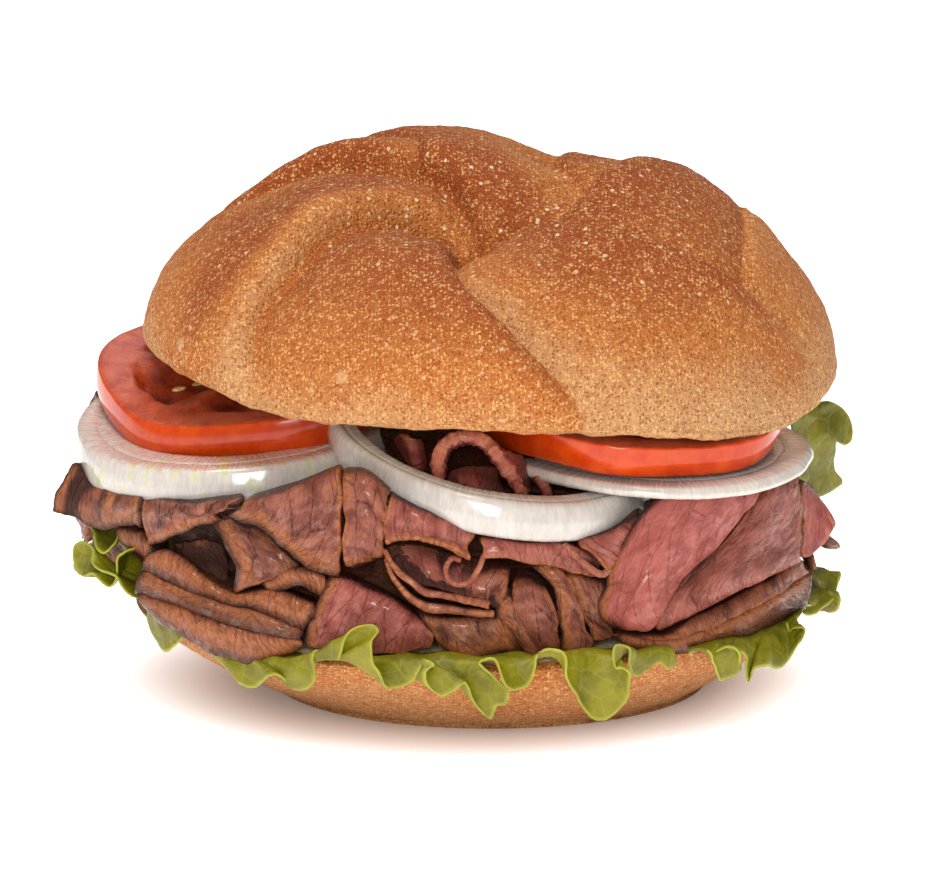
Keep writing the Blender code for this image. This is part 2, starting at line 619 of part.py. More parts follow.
def largest_piece(mesh):
    """Only the mesh's largest connected piece, with slivers melted."""
    work = bmesh.new()
    work.from_mesh(mesh)
    bmesh.ops.remove_doubles(work, verts=work.verts[:], dist=0.02 * MM)
    bmesh.ops.dissolve_degenerate(work, edges=work.edges[:], dist=0.02 * MM)
    left = set(work.verts)
    pieces = []
    while left:
        found, edge = set(), [left.pop()]
        while edge:
            vertex = edge.pop()
            found.add(vertex)
            near = [e.other_vert(vertex) for e in vertex.link_edges]
            near = [v for v in near if v in left]
            left.difference_update(near)
            edge.extend(near)
        pieces.append(found)
    keep = max(pieces, key=len)
    bmesh.ops.delete(work, geom=[v for v in work.verts if v not in keep], context="VERTS")
    work.to_mesh(mesh)
    work.free()
    return outward_facing(mesh)


def main():
    for old in list(bpy.data.objects):
        bpy.data.objects.remove(old)
    group = new_collection("roast_beef_sandwich")
    crust = material("crust", (0.56, 0.27, 0.10), 0.6)
    beef = material("roast_beef", (0.36, 0.15, 0.12), 0.4)
    onion_white = material("onion_white", (0.76, 0.74, 0.64), 0.3)
    tomato_red = material("tomato_red", (0.75, 0.12, 0.04), 0.25)
    lettuce_green = material("lettuce_green", (0.31, 0.45, 0.06), 0.4)

    crown(group, crust)
    heel(group, crust)
    for item in ONIONS:
        new_object(item["name"], onion(item), onion_white, group)
    for item in TOMATOES:
        new_object(item["name"], tomato(item), tomato_red, group)
    for leaf in LEAVES:
        new_object(leaf["name"], sheet(leaf_points(leaf), LEAF_THICK), lettuce_green, group)
    new_object("lettuce_upper", sheet(upper_leaf_points(), LEAF_THICK), lettuce_green, group)

    slices = [sheet(slice_points(cut, 6, 3), SLICE_THICK) for cut in FRONT_SLICES + EDGE_SLICES]
    slices += [sheet(slice_points(cut, 5, 2), SLICE_THICK) for cut in back_slices()]
    pile = joined("roast_beef", [core()] + slices)
    grow = CLEAR / MM
    rings = [onion(item, grow) for item in ONIONS] + [tomato(item, grow) for item in TOMATOES]
    pile = thinned(largest_piece(cut_clear(pile, rings)), BEEF_TRIANGLES)
    leaves = [sheet(leaf_points(leaf), LEAF_THICK, LEAF_CLEAR) for leaf in LEAVES]
    leaves += [sheet(upper_leaf_points(), LEAF_THICK, LEAF_CLEAR)]
    new_object("roast_beef", largest_piece(cut_clear(pile, leaves)), beef, group)


main()
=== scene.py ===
"""A roast beef sandwich on a knotted roll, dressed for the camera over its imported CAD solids.

The sections are the camera and the studio, the two halves of the roll, the roast beef, the onion
rings, the tomato slices and the lettuce. Sizes are in millimetres and turns in degrees. Places on
the filling are in the photograph's pixels, each with how far out it stands.
"""

import math
import random

import bpy
import numpy as np
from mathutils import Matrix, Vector, noise


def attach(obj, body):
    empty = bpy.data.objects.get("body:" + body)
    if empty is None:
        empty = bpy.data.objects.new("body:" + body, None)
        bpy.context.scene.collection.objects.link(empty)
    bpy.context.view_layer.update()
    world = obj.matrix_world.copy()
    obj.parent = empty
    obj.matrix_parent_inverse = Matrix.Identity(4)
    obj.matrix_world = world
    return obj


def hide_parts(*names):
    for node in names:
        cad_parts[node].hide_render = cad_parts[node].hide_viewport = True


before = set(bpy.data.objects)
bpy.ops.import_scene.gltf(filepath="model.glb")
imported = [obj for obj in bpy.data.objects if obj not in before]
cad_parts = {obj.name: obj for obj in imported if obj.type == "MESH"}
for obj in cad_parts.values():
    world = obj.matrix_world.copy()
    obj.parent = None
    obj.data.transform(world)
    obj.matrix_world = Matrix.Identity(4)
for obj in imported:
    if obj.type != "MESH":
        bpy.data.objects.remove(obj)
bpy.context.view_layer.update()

# The camera: about 3 m away with a long lens, straight in front and 13 degrees above level, as
# the photograph was taken. One millimetre of the sandwich is 5.78 px wide there, and the middle of
# its foot lies at ORIGIN_PX.
MM = 0.001
PX_A_MM = 5.78
PHOTO_WIDTH = 942
ORIGIN_PX = (490, 680)
CAMERA_AWAY = 3.0
CAMERA_RISE = math.radians(13)
LOOKS_AT = Vector((-3.3 * MM, 0, 41.7 * MM))
SENSOR = 36
FARTHEST = 20

lens = bpy.data.cameras.new("camera")
lens.sensor_width = SENSOR
lens.lens = PX_A_MM * SENSOR * CAMERA_AWAY / MM / PHOTO_WIDTH
lens.clip_end = FARTHEST
camera = bpy.data.objects.new("camera", lens)
toward = Vector((0, math.cos(CAMERA_RISE), -math.sin(CAMERA_RISE)))
camera.location = LOOKS_AT - toward * CAMERA_AWAY
camera.rotation_euler = toward.to_track_quat("-Z", "Y").to_euler()
bpy.context.scene.collection.objects.link(camera)
bpy.context.scene.camera = camera

# The studio: a soft light above the camera, a broad one overhead, a weak one behind, an even white
# room, and a white floor that glows a little and has a light of its own.
FLOOR_HALF = 4
bpy.context.scene.view_settings.view_transform = "Standard"


def soft_light(name, place, size, watts, aim=(0, 0, 40)):
    """A square area light that points at the sandwich."""
    made = bpy.data.lights.new(name, "AREA")
    made.size = size
    made.energy = watts
    light = bpy.data.objects.new(name, made)
    light.location = Vector(place) * MM
    light.rotation_euler = (Vector(aim) * MM - light.location).to_track_quat("-Z", "Y").to_euler()
    bpy.context.scene.collection.objects.link(light)
    return light


studio_lights = [
    soft_light("front_light", (-60, -1250, 430), 0.4, 7.25),
    soft_light("top_light", (-160, -260, 1100), 0.6, 10.0),
    soft_light("back_light", (100, 620, 760), 0.5, 1.6),
]

room = bpy.data.worlds.new("white_room")
room.use_nodes = True
room.node_tree.nodes["Background"].inputs["Color"].default_value = (1, 1, 1, 1)
room.node_tree.nodes["Background"].inputs["Strength"].default_value = 0.22
bpy.context.scene.world = room

floor_mesh = bpy.data.meshes.new("floor")
floor_corners = [(-1, -1), (1, -1), (1, 1), (-1, 1)]
floor_mesh.from_pydata([(x * FLOOR_HALF, y * FLOOR_HALF, 0) for x, y in floor_corners], [], [(0, 1, 2, 3)])
floor = bpy.data.objects.new("floor", floor_mesh)
floor_finish = bpy.data.materials.new("white_floor")
floor_finish.use_nodes = True
floor_shader = floor_finish.node_tree.nodes["Principled BSDF"]
floor_shader.inputs["Base Color"].default_value = (0.92, 0.92, 0.92, 1)
floor_shader.inputs["Roughness"].default_value = 0.9
floor_shader.inputs["Emission Color"].default_value = (1.0, 0.95, 0.9, 1)
floor_shader.inputs["Emission Strength"].default_value = 0.12
floor_mesh.materials.append(floor_finish)
bpy.context.scene.collection.objects.link(floor)

# The floor's own light is wide and overhead, and only the heel shades it, so that the floor stays
# white up to the soft shadow under the heel. The other lights leave the floor out.
lit_floor = bpy.data.collections.new("lit_floor")
lit_floor.objects.link(floor)
not_floor = bpy.data.collections.new("not_floor")
not_floor.objects.link(floor)
not_floor.collection_objects[0].light_linking.link_state = "EXCLUDE"
floor_shade = bpy.data.collections.new("floor_shade")
floor_light = soft_light("floor_light", (0, -300, 1600), 4.4, 165, aim=(0, 0, 0))
floor_light.light_linking.receiver_collection = lit_floor
floor_light.light_linking.blocker_collection = floor_shade
for light in studio_lights:
    light.light_linking.receiver_collection = not_floor


# The crown of the roll: an enriched dough, knotted from one strand, risen and baked golden. The
# strips lie over each other round the knot, browned on top and pale where they were covered.
ROLL_WIDTH, ROLL_DEPTH = 120, 115
CROWN_CUT_Z, CROWN_ROLL, CROWN_LIP, CROWN_DOME, CROWN_LEAN = 56.4, -0.045, 3, 28.8, 0.22
CROWN_STEPS = 320
KNOT = (-4.5, -16.5)
CREASES = [
    {"over": -1, "pale": 1.0, "brown": 1.0, "fade": 7, "pale_over": True,
     "plan": [(-4, -16), (-11, -10.5), (-22, -15.5), (-33, -26), (-40, -34), (-42, -46)]},
    {"over": -1, "pale": 0.95, "brown": 0.9, "fade": 10,
     "plan": [(-4.5, -18), (-6.5, -29), (-4, -41), (4, -49), (12, -54), (20, -57)]},
    {"over": -1, "pale": 0.35, "brown": 0.9, "fade": 8,
     "plan": [(-2, -16), (9, -17.5), (19, -22.5), (33, -24.5), (47, -21), (58, -16)]},
    {"over": -1, "pale": 0.5, "brown": 1.0, "fade": 9, "rise": 0.5,
     "plan": [(6, -18), (14, -8), (17, -2), (21, 7), (25, 17), (33, 33)]},
    {"over": -1, "trough": 15, "rise": 0.45, "pale": 0.8, "brown": 0.6, "fade": 10,
     "plan": [(17, -2), (14, 5), (11, 14), (11, 26), (13, 42)]},
    {"over": -1, "pale": 0.8, "brown": 0.6, "fade": 8,
     "plan": [(-2, -13), (-6.5, -2), (-12, 3.5), (-20, 9), (-30, 12), (-46, 13)]},
    {"over": 1, "pale": 0.9, "brown": 0.6, "fade": 12, "rise": 0.35, "pale_over": True,
     "plan": [(43.5, 16), (44, 2), (44, -10), (44, -21)]},
    {"over": -1, "pale": 0.6, "brown": 0.4, "fade": 8, "rise": 0.35,
     "plan": [(-12, 5), (-13, 16), (-21, 30), (-33, 42)]},
]
CREASE_STEPS, CREASE_TAPER, CREASE_END = 90, 0.35, 5
RIDGE_SPREAD, STRIP_MIDDLE, STRIP_HALF = 10, 12, 7
FOLD_RISE, FOLD_DIP, FOLD_EDGE, FOLD_BACK, FOLD_TROUGH = 2.7, 3.0, 1.1, 20, 6
KNOT_DIP, KNOT_SPREAD = 7, 13
LOW_STRIP, LOW_STRIP_DIP, LOW_STRIP_SPREAD = (16.5, 24), 4.0, 11
DOME_TRIM = [(-60, -1.0), (-50, -1.9), (-40, -1.6), (-30, 0), (-15, 1.0), (0, 1.0), (10, 0),
             (22, 1.4), (32, 1.9), (41, 1.5), (46, 0), (50, -1.5), (60, -2.8)]
RIM_DROOPS = [(-38, 4.6, 27), (-125, 2.6, 20), (-88, 0.6, 20)]
DOME_FULLNESS, DOME_SHOULDER, LIP_SHOULDER = 3, 0.56, 14
FOLD_STRENGTH, SWELL, RIPPLE, GRAIN = 1.25, 0.5, 0.22, 0.09
SEED_STEP = (3.7, 1.9, 5.3)


def smooth_between(ends, start, t):
    """Catmull-Rom places a share t past these points, numbered in a line with one more at each end."""
    a, b, c, d = (ends[start + k] for k in range(4))
    bend, twist = 2 * a - 5 * b + 4 * c - d, 3 * b - a - 3 * c + d
    return 0.5 * (2 * b + (c - a) * t + bend * t * t + twist * t ** 3)


def spline(points, places):
    """Places from 0 to 1, by length, along a smooth curve through the points."""
    given = np.array(points, float)
    steps = np.linalg.norm(np.diff(given, axis=0), axis=1) + 1e-6
    lengths = np.concatenate([[0], np.cumsum(steps)]) / steps.sum()
    spots = np.interp(places, lengths, np.arange(len(given)))
    ends = np.vstack([2 * given[0] - given[1], given, 2 * given[-1] - given[-2]])
    start = np.minimum(spots.astype(int), len(given) - 2)
    return smooth_between(ends, start, (spots - start)[:, None])


def lumps(points, grain, seed=0.0):
    """Smooth noise from -1 to 1 at each point in millimetres. Grain is the size of a lump."""
    shift = Vector([seed * step for step in SEED_STEP])
    flat = np.asarray(points, float).reshape(-1, 3) / grain
    found = np.array([noise.noise(Vector(p) + shift) for p in flat])
    return found.reshape(np.shape(points)[:-1])


def new_piece(name, points, faces, facts, finish):
    """A smooth-shaded mesh object of points in millimetres. Facts are values for its material."""
    mesh = bpy.data.meshes.new(name)
    mesh.from_pydata((np.asarray(points) * MM).tolist(), [], faces)
    mesh.shade_smooth()
    for fact, values in facts.items():
        values = np.asarray(values, np.float32)
        if values.ndim == 1:
            mesh.attributes.new(fact, "FLOAT", "POINT").data.foreach_set("value", values)
        else:
            mesh.attributes.new(fact, "FLOAT_VECTOR", "POINT").data.foreach_set("vector", values.ravel())
    mesh.materials.append(finish)
    made = bpy.data.objects.new(name, mesh)
    bpy.context.scene.collection.objects.link(made)
    return made


def grid_faces(rows, columns, first=0, around=False, flip=False):
    """Four-sided faces over a grid of points numbered row by row."""
    last = columns if around else columns - 1
    i, j = np.meshgrid(np.arange(rows - 1), np.arange(last), indexing="ij")
    k = (j + 1) % columns
    faces = np.stack([i * columns + j, i * columns + k, (i + 1) * columns + k, (i + 1) * columns + j], -1)
    faces = faces.reshape(-1, 4) + first
    return faces[:, ::-1] if flip else faces


def paint(red, green, blue):
    """A display colour of 0 to 255 as the shader's linear colour."""
    parts = [c / 255 for c in (red, green, blue)]
    return tuple(c / 12.92 if c < 0.04045 else ((c + 0.055) / 1.055) ** 2.4 for c in parts) + (1,)


class Finish:
    """One material and short ways to add its nodes."""

    def __init__(self, tree):
        self.tree = tree

    def node(self, kind, sets=None, **inputs):
        """A node with its properties in "sets" and its sockets set, or linked where given a socket."""
        made = self.tree.nodes.new("ShaderNode" + kind)
        for key, value in (sets or {}).items():
            setattr(made, key, value)
        for key, value in inputs.items():
            self.put(made, key.replace("_", " "), value)
        return made

    def put(self, made, key, value):
        """Sets or links one input, by name or by number."""
        socket = made.inputs[int(key[1:])] if key[0] == "n" and key[1:].isdigit() else made.inputs[key]
        if isinstance(value, bpy.types.NodeSocket):
            self.tree.links.new(value, socket)
        else:
            socket.default_value = value

    def fact(self, name):
        """The value that the mesh carries under this name."""
        return self.node("Attribute", {"attribute_name": name}).outputs["Fac"]

    def places(self, name):
        """The vector that the mesh carries under this name."""
        return self.node("Attribute", {"attribute_name": name}).outputs["Vector"]

    def math(self, work, a, b=0.0, c=0.0):
        """One step of arithmetic."""
        return self.node("Math", {"operation": work}, n0=a, n1=b, n2=c).outputs[0]

    def blend(self, share, low, high):
        """Two colours mixed by a share."""
        return self.node("Mix", {"data_type": "RGBA"}, n0=share, n6=low, n7=high).outputs[2]

    def ramp(self, value, low, high, start=0.0, end=1.0):
        """A value stretched from low..high to start..end, smoothly and held at its ends."""
        smooth = {"interpolation_type": "SMOOTHSTEP"}
        return self.node("MapRange", smooth, n0=value, n1=low, n2=high, n3=start, n4=end).outputs[0]

    def noise(self, places, scale, detail=2.0, rough=0.5):
        """Cloudy noise about 0.5. Scale is in lumps a metre, or a unit of the places given."""
        made = self.node("TexNoise", Vector=places, Scale=scale, Detail=detail, Roughness=rough)
        return made.outputs["Fac"]

    def borders(self, places, scale):
        """The distance to the borders between cells."""
        made = self.node("TexVoronoi", {"feature": "DISTANCE_TO_EDGE"}, Vector=places, Scale=scale)
        return made.outputs["Distance"]

    def look(self, **inputs):
        """Sets or links the shader's own inputs."""
        for key, value in inputs.items():
            self.put(self.shader, key.replace("_", " "), value)

    def bump(self, strength, depth, height):
        """A bumped normal for the shader. Depth is in metres."""
        return self.node("Bump", Strength=strength, Distance=depth, Height=height).outputs[0]

    def group(self, made, **inputs):
        """One of the shared node groups, with its own values."""
        placed = self.tree.nodes.new("ShaderNodeGroup")
        placed.node_tree = made
        for key, value in inputs.items():
            self.put(placed, key.replace("_", " "), value)
        return placed


def new_finish(name):
    """A material's tree, its shader, and its object coordinates."""
    made = bpy.data.materials.new(name)
    made.use_nodes = True
    finish = Finish(made.node_tree)
    finish.material = made
    finish.shader = made.node_tree.nodes["Principled BSDF"]
    finish.spot = finish.node("TexCoord").outputs["Object"]
    return finish


def new_group(name, inputs, outputs):
    """A node group with these sockets, each given as (kind, name, value)."""
    tree = bpy.data.node_groups.new(name, "ShaderNodeTree")
    for kind, label, value in inputs:
        socket = tree.interface.new_socket(label, in_out="INPUT", socket_type="NodeSocket" + kind)
        if value is not None:
            socket.default_value = value
    for kind, label in outputs:
        tree.interface.new_socket(label, in_out="OUTPUT", socket_type="NodeSocket" + kind)
    work = Finish(tree)
    work.given = tree.nodes.new("NodeGroupInput").outputs
    work.out = tree.nodes.new("NodeGroupOutput").inputs
    return tree, work


# Shared effect: scattered specks, each cell of a spread of dots being a speck or not.
specks, work = new_group(
    "specks",
    [("Vector", "Places", None), ("Float", "Scale", 500.0), ("Float", "Size", 0.3), ("Float", "Share", 0.3)],
    [("Float", "Mask")],
)
dots = work.node("TexVoronoi", Vector=work.given["Places"], Scale=work.given["Scale"])
chance = work.node("SeparateColor", Color=dots.outputs["Color"]).outputs[0]
picked = work.math("LESS_THAN", chance, work.given["Share"])
near = work.ramp(dots.outputs["Distance"], work.given["Size"], work.math("MULTIPLY", work.given["Size"], 0.4))
work.tree.links.new(work.math("MULTIPLY", near, picked), work.out["Mask"])

# Shared effect: the sandy grain of a baked crust, grains that are each paler or darker than the
# next, as a dark-to-pale value and a height.
crust_grain, work = new_group(
    "crust_grain",
    [("Vector", "Places", None), ("Float", "Scale", 1600.0)],
    [("Float", "Grain"), ("Float", "Height")],
)
grains = work.node("TexVoronoi", Vector=work.given["Places"], Scale=work.given["Scale"])
tone = work.node("SeparateColor", Color=grains.outputs["Color"]).outputs[0]
dome = work.ramp(grains.outputs["Distance"], 0.62, 0.1)
fine = work.noise(work.given["Places"], work.math("MULTIPLY", work.given["Scale"], 1.6), 2.0, 0.6)
lone = work.math("MULTIPLY", work.math("SUBTRACT", tone, 0.5), dome)
coarse = work.noise(work.given["Places"], work.math("MULTIPLY", work.given["Scale"], 0.5), 2.0, 0.6)
both = work.math("MULTIPLY_ADD", lone, 1.0, fine)
both = work.math("MULTIPLY_ADD", work.math("SUBTRACT", coarse, 0.5), 0.4, both)
work.tree.links.new(work.ramp(both, 0.12, 0.88), work.out["Grain"])
work.tree.links.new(work.math("MULTIPLY_ADD", dome, 0.5, fine), work.out["Height"])


def crust_finish():
    """Baked crust, from pale where "bake" is 0 to deep brown where it is 1, and its cut crumb."""
    crust = new_finish("golden_crust")
    grain = crust.group(crust_grain, Places=crust.spot, Scale=1700.0)
    cloud = crust.noise(crust.spot, 70, 4, 0.6)
    baked = crust.math("ADD", crust.fact("bake"), crust.math("MULTIPLY_ADD", cloud, 0.5, -0.25))
    golden = crust.blend(crust.ramp(baked, 0.0, 0.5), paint(192, 142, 94), paint(180, 104, 44))
    brown = crust.blend(crust.ramp(baked, 0.45, 1.05), golden, paint(146, 66, 18))
    sandy = crust.math("MULTIPLY_ADD", grain.outputs["Grain"], 1.0, -0.5)
    pale_share = crust.math("MULTIPLY", crust.ramp(sandy, 0.06, 0.46), 0.68)
    dark_share = crust.math("MULTIPLY", crust.ramp(sandy, -0.06, -0.46), 0.64)
    colour = crust.blend(pale_share, brown, paint(238, 184, 112))
    colour = crust.blend(dark_share, colour, paint(140, 58, 14))
    blister = crust.group(specks, Places=crust.spot, Scale=620.0, Size=0.32, Share=0.2)
    lively = crust.math("MULTIPLY", blister.outputs["Mask"], crust.fact("blisters"))
    colour = crust.blend(crust.math("MULTIPLY", lively, 0.8), colour, paint(250, 222, 180))
    spots = crust.group(specks, Places=crust.spot, Scale=75.0, Size=0.12, Share=0.12)
    colour = crust.blend(crust.math("MULTIPLY", spots.outputs["Mask"], 0.35), colour, paint(236, 196, 150))
    soot = crust.group(specks, Places=crust.spot, Scale=120.0, Size=0.09, Share=0.035)
    colour = crust.blend(soot.outputs["Mask"], colour, paint(40, 20, 12))
    crumb_cloud = crust.ramp(crust.noise(crust.spot, 420, 3, 0.7), 0.35, 0.65)
    crumb_colour = crust.blend(crumb_cloud, paint(214, 176, 128), paint(247, 226, 190))
    colour = crust.blend(crust.fact("crumb"), colour, crumb_colour)
    height = crust.math("ADD", grain.outputs["Height"], crust.math("MULTIPLY", lively, 0.7))
    crust.look(Base_Color=colour, Roughness=crust.ramp(grain.outputs["Grain"], 0.0, 1.0, 0.85, 0.55),
               Specular_IOR_Level=0.28, Normal=crust.bump(0.62, 0.0007, height),
               Subsurface_Weight=0.06, Subsurface_Radius=(0.004, 0.002, 0.001), Subsurface_Scale=0.5)
    return crust.material


crust_material = crust_finish()


def crease_relief(plan):
    """How far the strips lift the crust at points of the plan, and how pale and brown it is there."""
    lift, pale, brown = np.zeros(len(plan)), np.zeros(len(plan)), np.zeros(len(plan))
    rows = np.arange(len(plan))
    for crease in CREASES:
        curve = spline(crease["plan"], np.linspace(0, 1, CREASE_STEPS))
        along = np.gradient(curve, axis=0)
        along /= np.linalg.norm(along, axis=1)[:, None]
        apart = plan[:, None, :] - curve[None, :, :]
        far = np.linalg.norm(apart, axis=2)
        nearest = far.argmin(axis=1)
        ahead, gap, away = along[nearest], apart[rows, nearest], far[rows, nearest]
        signed = (ahead[:, 0] * gap[:, 1] - ahead[:, 1] * gap[:, 0]) * crease["over"]
        share = nearest / (len(curve) - 1)
        past_end = np.abs((gap * ahead).sum(axis=1)) * ((share == 0) | (share == 1))
        strength = np.clip((1 - share) / CREASE_TAPER, 0, 1) ** 0.7 * np.exp(-past_end / CREASE_END)
        edge = np.exp(-away / FOLD_EDGE)
        rise = crease.get("rise", 1)
        over = -FOLD_DIP * rise * edge + FOLD_RISE * rise * (1 - edge) * np.exp(-away / FOLD_BACK)
        under = -FOLD_DIP * rise * np.exp(-away / crease.get("trough", FOLD_TROUGH))
        side = np.clip(signed + 0.5, 0, 1)
        lift += strength * (over * side + under * (1 - side))
        fade = np.exp(-(away / crease["fade"]) ** 2)
        bare, ridge = 1 - side, np.exp(-away / RIDGE_SPREAD)
        if "pale_over" in crease:
            bare, ridge = side, np.exp(-((away - STRIP_MIDDLE) / STRIP_HALF) ** 2)
        pale = np.maximum(pale, crease["pale"] * strength ** 0.5 * fade * bare)
        brown = np.maximum(brown, crease["brown"] * strength ** 0.5 * ridge * side)
    knot = np.linalg.norm(plan - np.array(KNOT), axis=1)
    low = np.linalg.norm(plan - np.array(LOW_STRIP), axis=1)
    lift -= LOW_STRIP_DIP * np.exp(-(low / LOW_STRIP_SPREAD) ** 2)
    return lift - KNOT_DIP * np.exp(-(knot / KNOT_SPREAD) ** 2), pale, brown


def crown_points(reach, turn_of, height):
    """Dome places from their share of the way out, before the knot's relief."""
    plan = np.stack([reach * np.cos(turn_of) * ROLL_WIDTH / 2, reach * np.sin(turn_of) * ROLL_DEPTH / 2], -1)
    lean = 1 + CROWN_LEAN * reach * np.sin(turn_of) * (height > 0)
    return np.concatenate([plan, (height * lean)[:, None]], axis=1)


square = np.linspace(-1, 1, CROWN_STEPS + 1)
u, v = (a.ravel() for a in np.meshgrid(square, square))
ring_of = np.maximum(np.abs(u), np.abs(v))
turn_of = np.arctan2(v, u)
reach = np.minimum(1, np.sin(ring_of * math.pi / 2) ** 1.2)
dome = crown_points(reach, turn_of, CROWN_DOME * (1 - reach ** DOME_FULLNESS) ** DOME_SHOULDER)
index = np.arange((CROWN_STEPS + 1) ** 2).reshape(CROWN_STEPS + 1, -1)
rim = np.concatenate([index[0, :-1], index[:-1, -1], index[-1, :0:-1], index[:0:-1, 0]])
lip_reach = np.concatenate([np.sin(np.linspace(math.pi / 2, 1.15, 10))[1:], [0.85, 0.7, 0.45, 0.2, 0.02]])
below = [crown_points(np.full(len(rim), r), turn_of[rim],
                      np.full(len(rim), -CROWN_LIP * (1 - r ** LIP_SHOULDER) ** 0.5)) for r in lip_reach]
points = np.concatenate([dome] + below)
top_count = len(dome)
outward = points / np.array([ROLL_WIDTH / 2, ROLL_DEPTH / 2, CROWN_DOME]) ** 2
outward /= np.linalg.norm(outward, axis=1)[:, None]
lift, pale, brown = crease_relief(points[:, :2])
on_top = np.clip(points[:, 2] / 8, 0, 1)
turned = np.degrees(np.arctan2(points[:, 1] / ROLL_DEPTH, points[:, 0] / ROLL_WIDTH))
out_share = np.hypot(points[:, 0] / ROLL_WIDTH, points[:, 1] / ROLL_DEPTH) * 2
droop = sum(deep * np.exp(-((turned - middle) / wide) ** 2) for middle, deep, wide in RIM_DROOPS)
droop *= np.clip((out_share - 0.62) / 0.38, 0, 1) ** 1.5
relief = FOLD_STRENGTH * lift * on_top + lumps(points, 14, 1) * SWELL * (points[:, 2] > 0)
relief += lumps(points, 3.2, 5) * RIPPLE * np.clip(points[:, 2] / 2 + 1, 0, 1)
relief += lumps(points, 1.1, 6) * GRAIN
round_rim = points * [1, 1, 0.2]
edge_wobble = lumps(round_rim, 5, 7) * 0.8 + lumps(round_rim, 1.6, 27) * 0.25
edge_wobble *= np.exp(-((points[:, 2] + CROWN_LIP) / 2.5) ** 2)
height_share = points[:, 2] / CROWN_DOME
trim = np.interp(points[:, 0], *np.array(DOME_TRIM).T) * on_top
points = points + outward * relief[:, None]
points[:, 2] += trim
points[:, 2] += CROWN_CUT_Z + CROWN_LIP + CROWN_ROLL * points[:, 0] - edge_wobble - droop
bake = 0.5 + 0.4 * brown - 0.55 * pale * on_top - 0.36 * np.exp(-np.clip(height_share, 0, 1) / 0.25)
bake += 0.34 * np.clip((height_share - 0.2) / 0.5, 0, 1)
bake -= 0.25 * np.clip((points[:, 0] - 15) / 25, 0, 1) * np.clip((0.6 - height_share) / 0.3, 0, 1)
blisters = np.clip(0.3 + 1.4 * np.clip(height_share - 0.4, 0, 1) + 0.3 * brown - 0.3 * pale, 0, 1)
crumb = np.zeros(len(points))
crumb[top_count + 8 * len(rim):] = 1
faces = [grid_faces(CROWN_STEPS + 1, CROWN_STEPS + 1)]
loops = [rim] + [top_count + np.arange(len(rim)) + k * len(rim) for k in range(len(lip_reach))]
for here, there in zip(loops, loops[1:]):
    faces.append(np.stack([np.roll(here, -1), here, there, np.roll(there, -1)], -1))
crown = new_piece("crown_crust", points, np.concatenate(faces).tolist(),
                  {"bake": bake, "blisters": blisters, "crumb": crumb}, crust_material)
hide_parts("crown")
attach(crown, "root")


# The heel of the roll: the flat-bottomed half, pale where it stood close to its neighbours in the
# oven, with the same sandy crust.
HEEL_WIDTH, HEEL_DEPTH, HEEL_SHIFT, HEEL_HEIGHT = 117, 113, -4, 17
HEEL_FOOT, HEEL_SLOPE, HEEL_LIP, HEEL_SHOULDER, HEEL_EYE = 37, 1.35, 2, 16, 0.5
HEEL_OUT = HEEL_WIDTH / 2
wall = [(HEEL_FOOT + (HEEL_OUT - HEEL_FOOT) * (1 - fall ** HEEL_SLOPE), (HEEL_HEIGHT - HEEL_LIP) * (1 - fall))
        for fall in np.linspace(0, 1, 60)]
face = [(r, HEEL_HEIGHT - HEEL_LIP * (r / HEEL_OUT) ** HEEL_SHOULDER)
        for r in np.linspace(HEEL_EYE, HEEL_OUT, 40)[:-1]]
foot = [(r, 0.0) for r in np.linspace(HEEL_FOOT, HEEL_EYE, 14)[1:]]
profile = np.array(face + wall + foot)
turns = np.linspace(0, 2 * math.pi, 720, endpoint=False)
points = np.stack([profile[:, :1] * np.cos(turns),
                   profile[:, :1] * np.sin(turns) * HEEL_DEPTH / HEEL_WIDTH,
                   np.repeat(profile[:, 1:], len(turns), axis=1)], -1).reshape(-1, 3)
on_side = (points[:, 2] > 0.4) & (points[:, 2] < HEEL_HEIGHT - 1)
outward = points[:, :2] / np.maximum(np.linalg.norm(points[:, :2], axis=1), 1)[:, None]
push = (lumps(points, 30, 4) - 1) * 1.0 + lumps(points, 5, 8) * 0.3 + lumps(points, 1.3, 9) * 0.12
points[:, :2] += outward * (push * on_side)[:, None]
points[:, 0] += HEEL_SHIFT * points[:, 2] / HEEL_HEIGHT
bake = 0.15 + 0.25 * np.clip(points[:, 2] / HEEL_HEIGHT, 0, 1) + 0.1 * (points[:, 2] < 0.3)
crumb = (points[:, 2] > HEEL_HEIGHT - 1.2).astype(float)
faces = grid_faces(len(profile), len(turns), around=True, flip=True).tolist()
heel = new_piece("heel_crust", points, faces,
                 {"bake": bake, "blisters": np.full(len(points), 0.35), "crumb": crumb}, crust_material)
floor_shade.objects.link(heel)
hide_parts("heel")
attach(heel, "root")


# The roast beef: thin slices, folded and piled. The slices that the photograph shows are laid by
# it, each as rows of places from its tucked-in side to its free edge, and a browned rim where
# the slice has the outside of the roast.
PILE_MIDDLE, PILE_HALF, SEEN_HALF = (-7, 0), (62, 53), (66, 50)
SLICE_THICK, SLICE_WAVES, SLICE_ROUGH, SLICE_FREE = 1.35, [(7, 0.5, 0), (2.6, 0.2, 2), (1.0, 0.07, 3)], 0.8, 8
RISE_SIN, RISE_COS, LEAST_SIDE = 0.225, 0.974, 0.12


def at_depth(x, y, depth):
    """Where a pixel of the photograph lies at this depth, in millimetres behind the middle."""
    up_picture = (ORIGIN_PX[1] - y) / PX_A_MM
    return ((x - ORIGIN_PX[0]) / PX_A_MM, depth, (up_picture - RISE_SIN * depth) / RISE_COS)


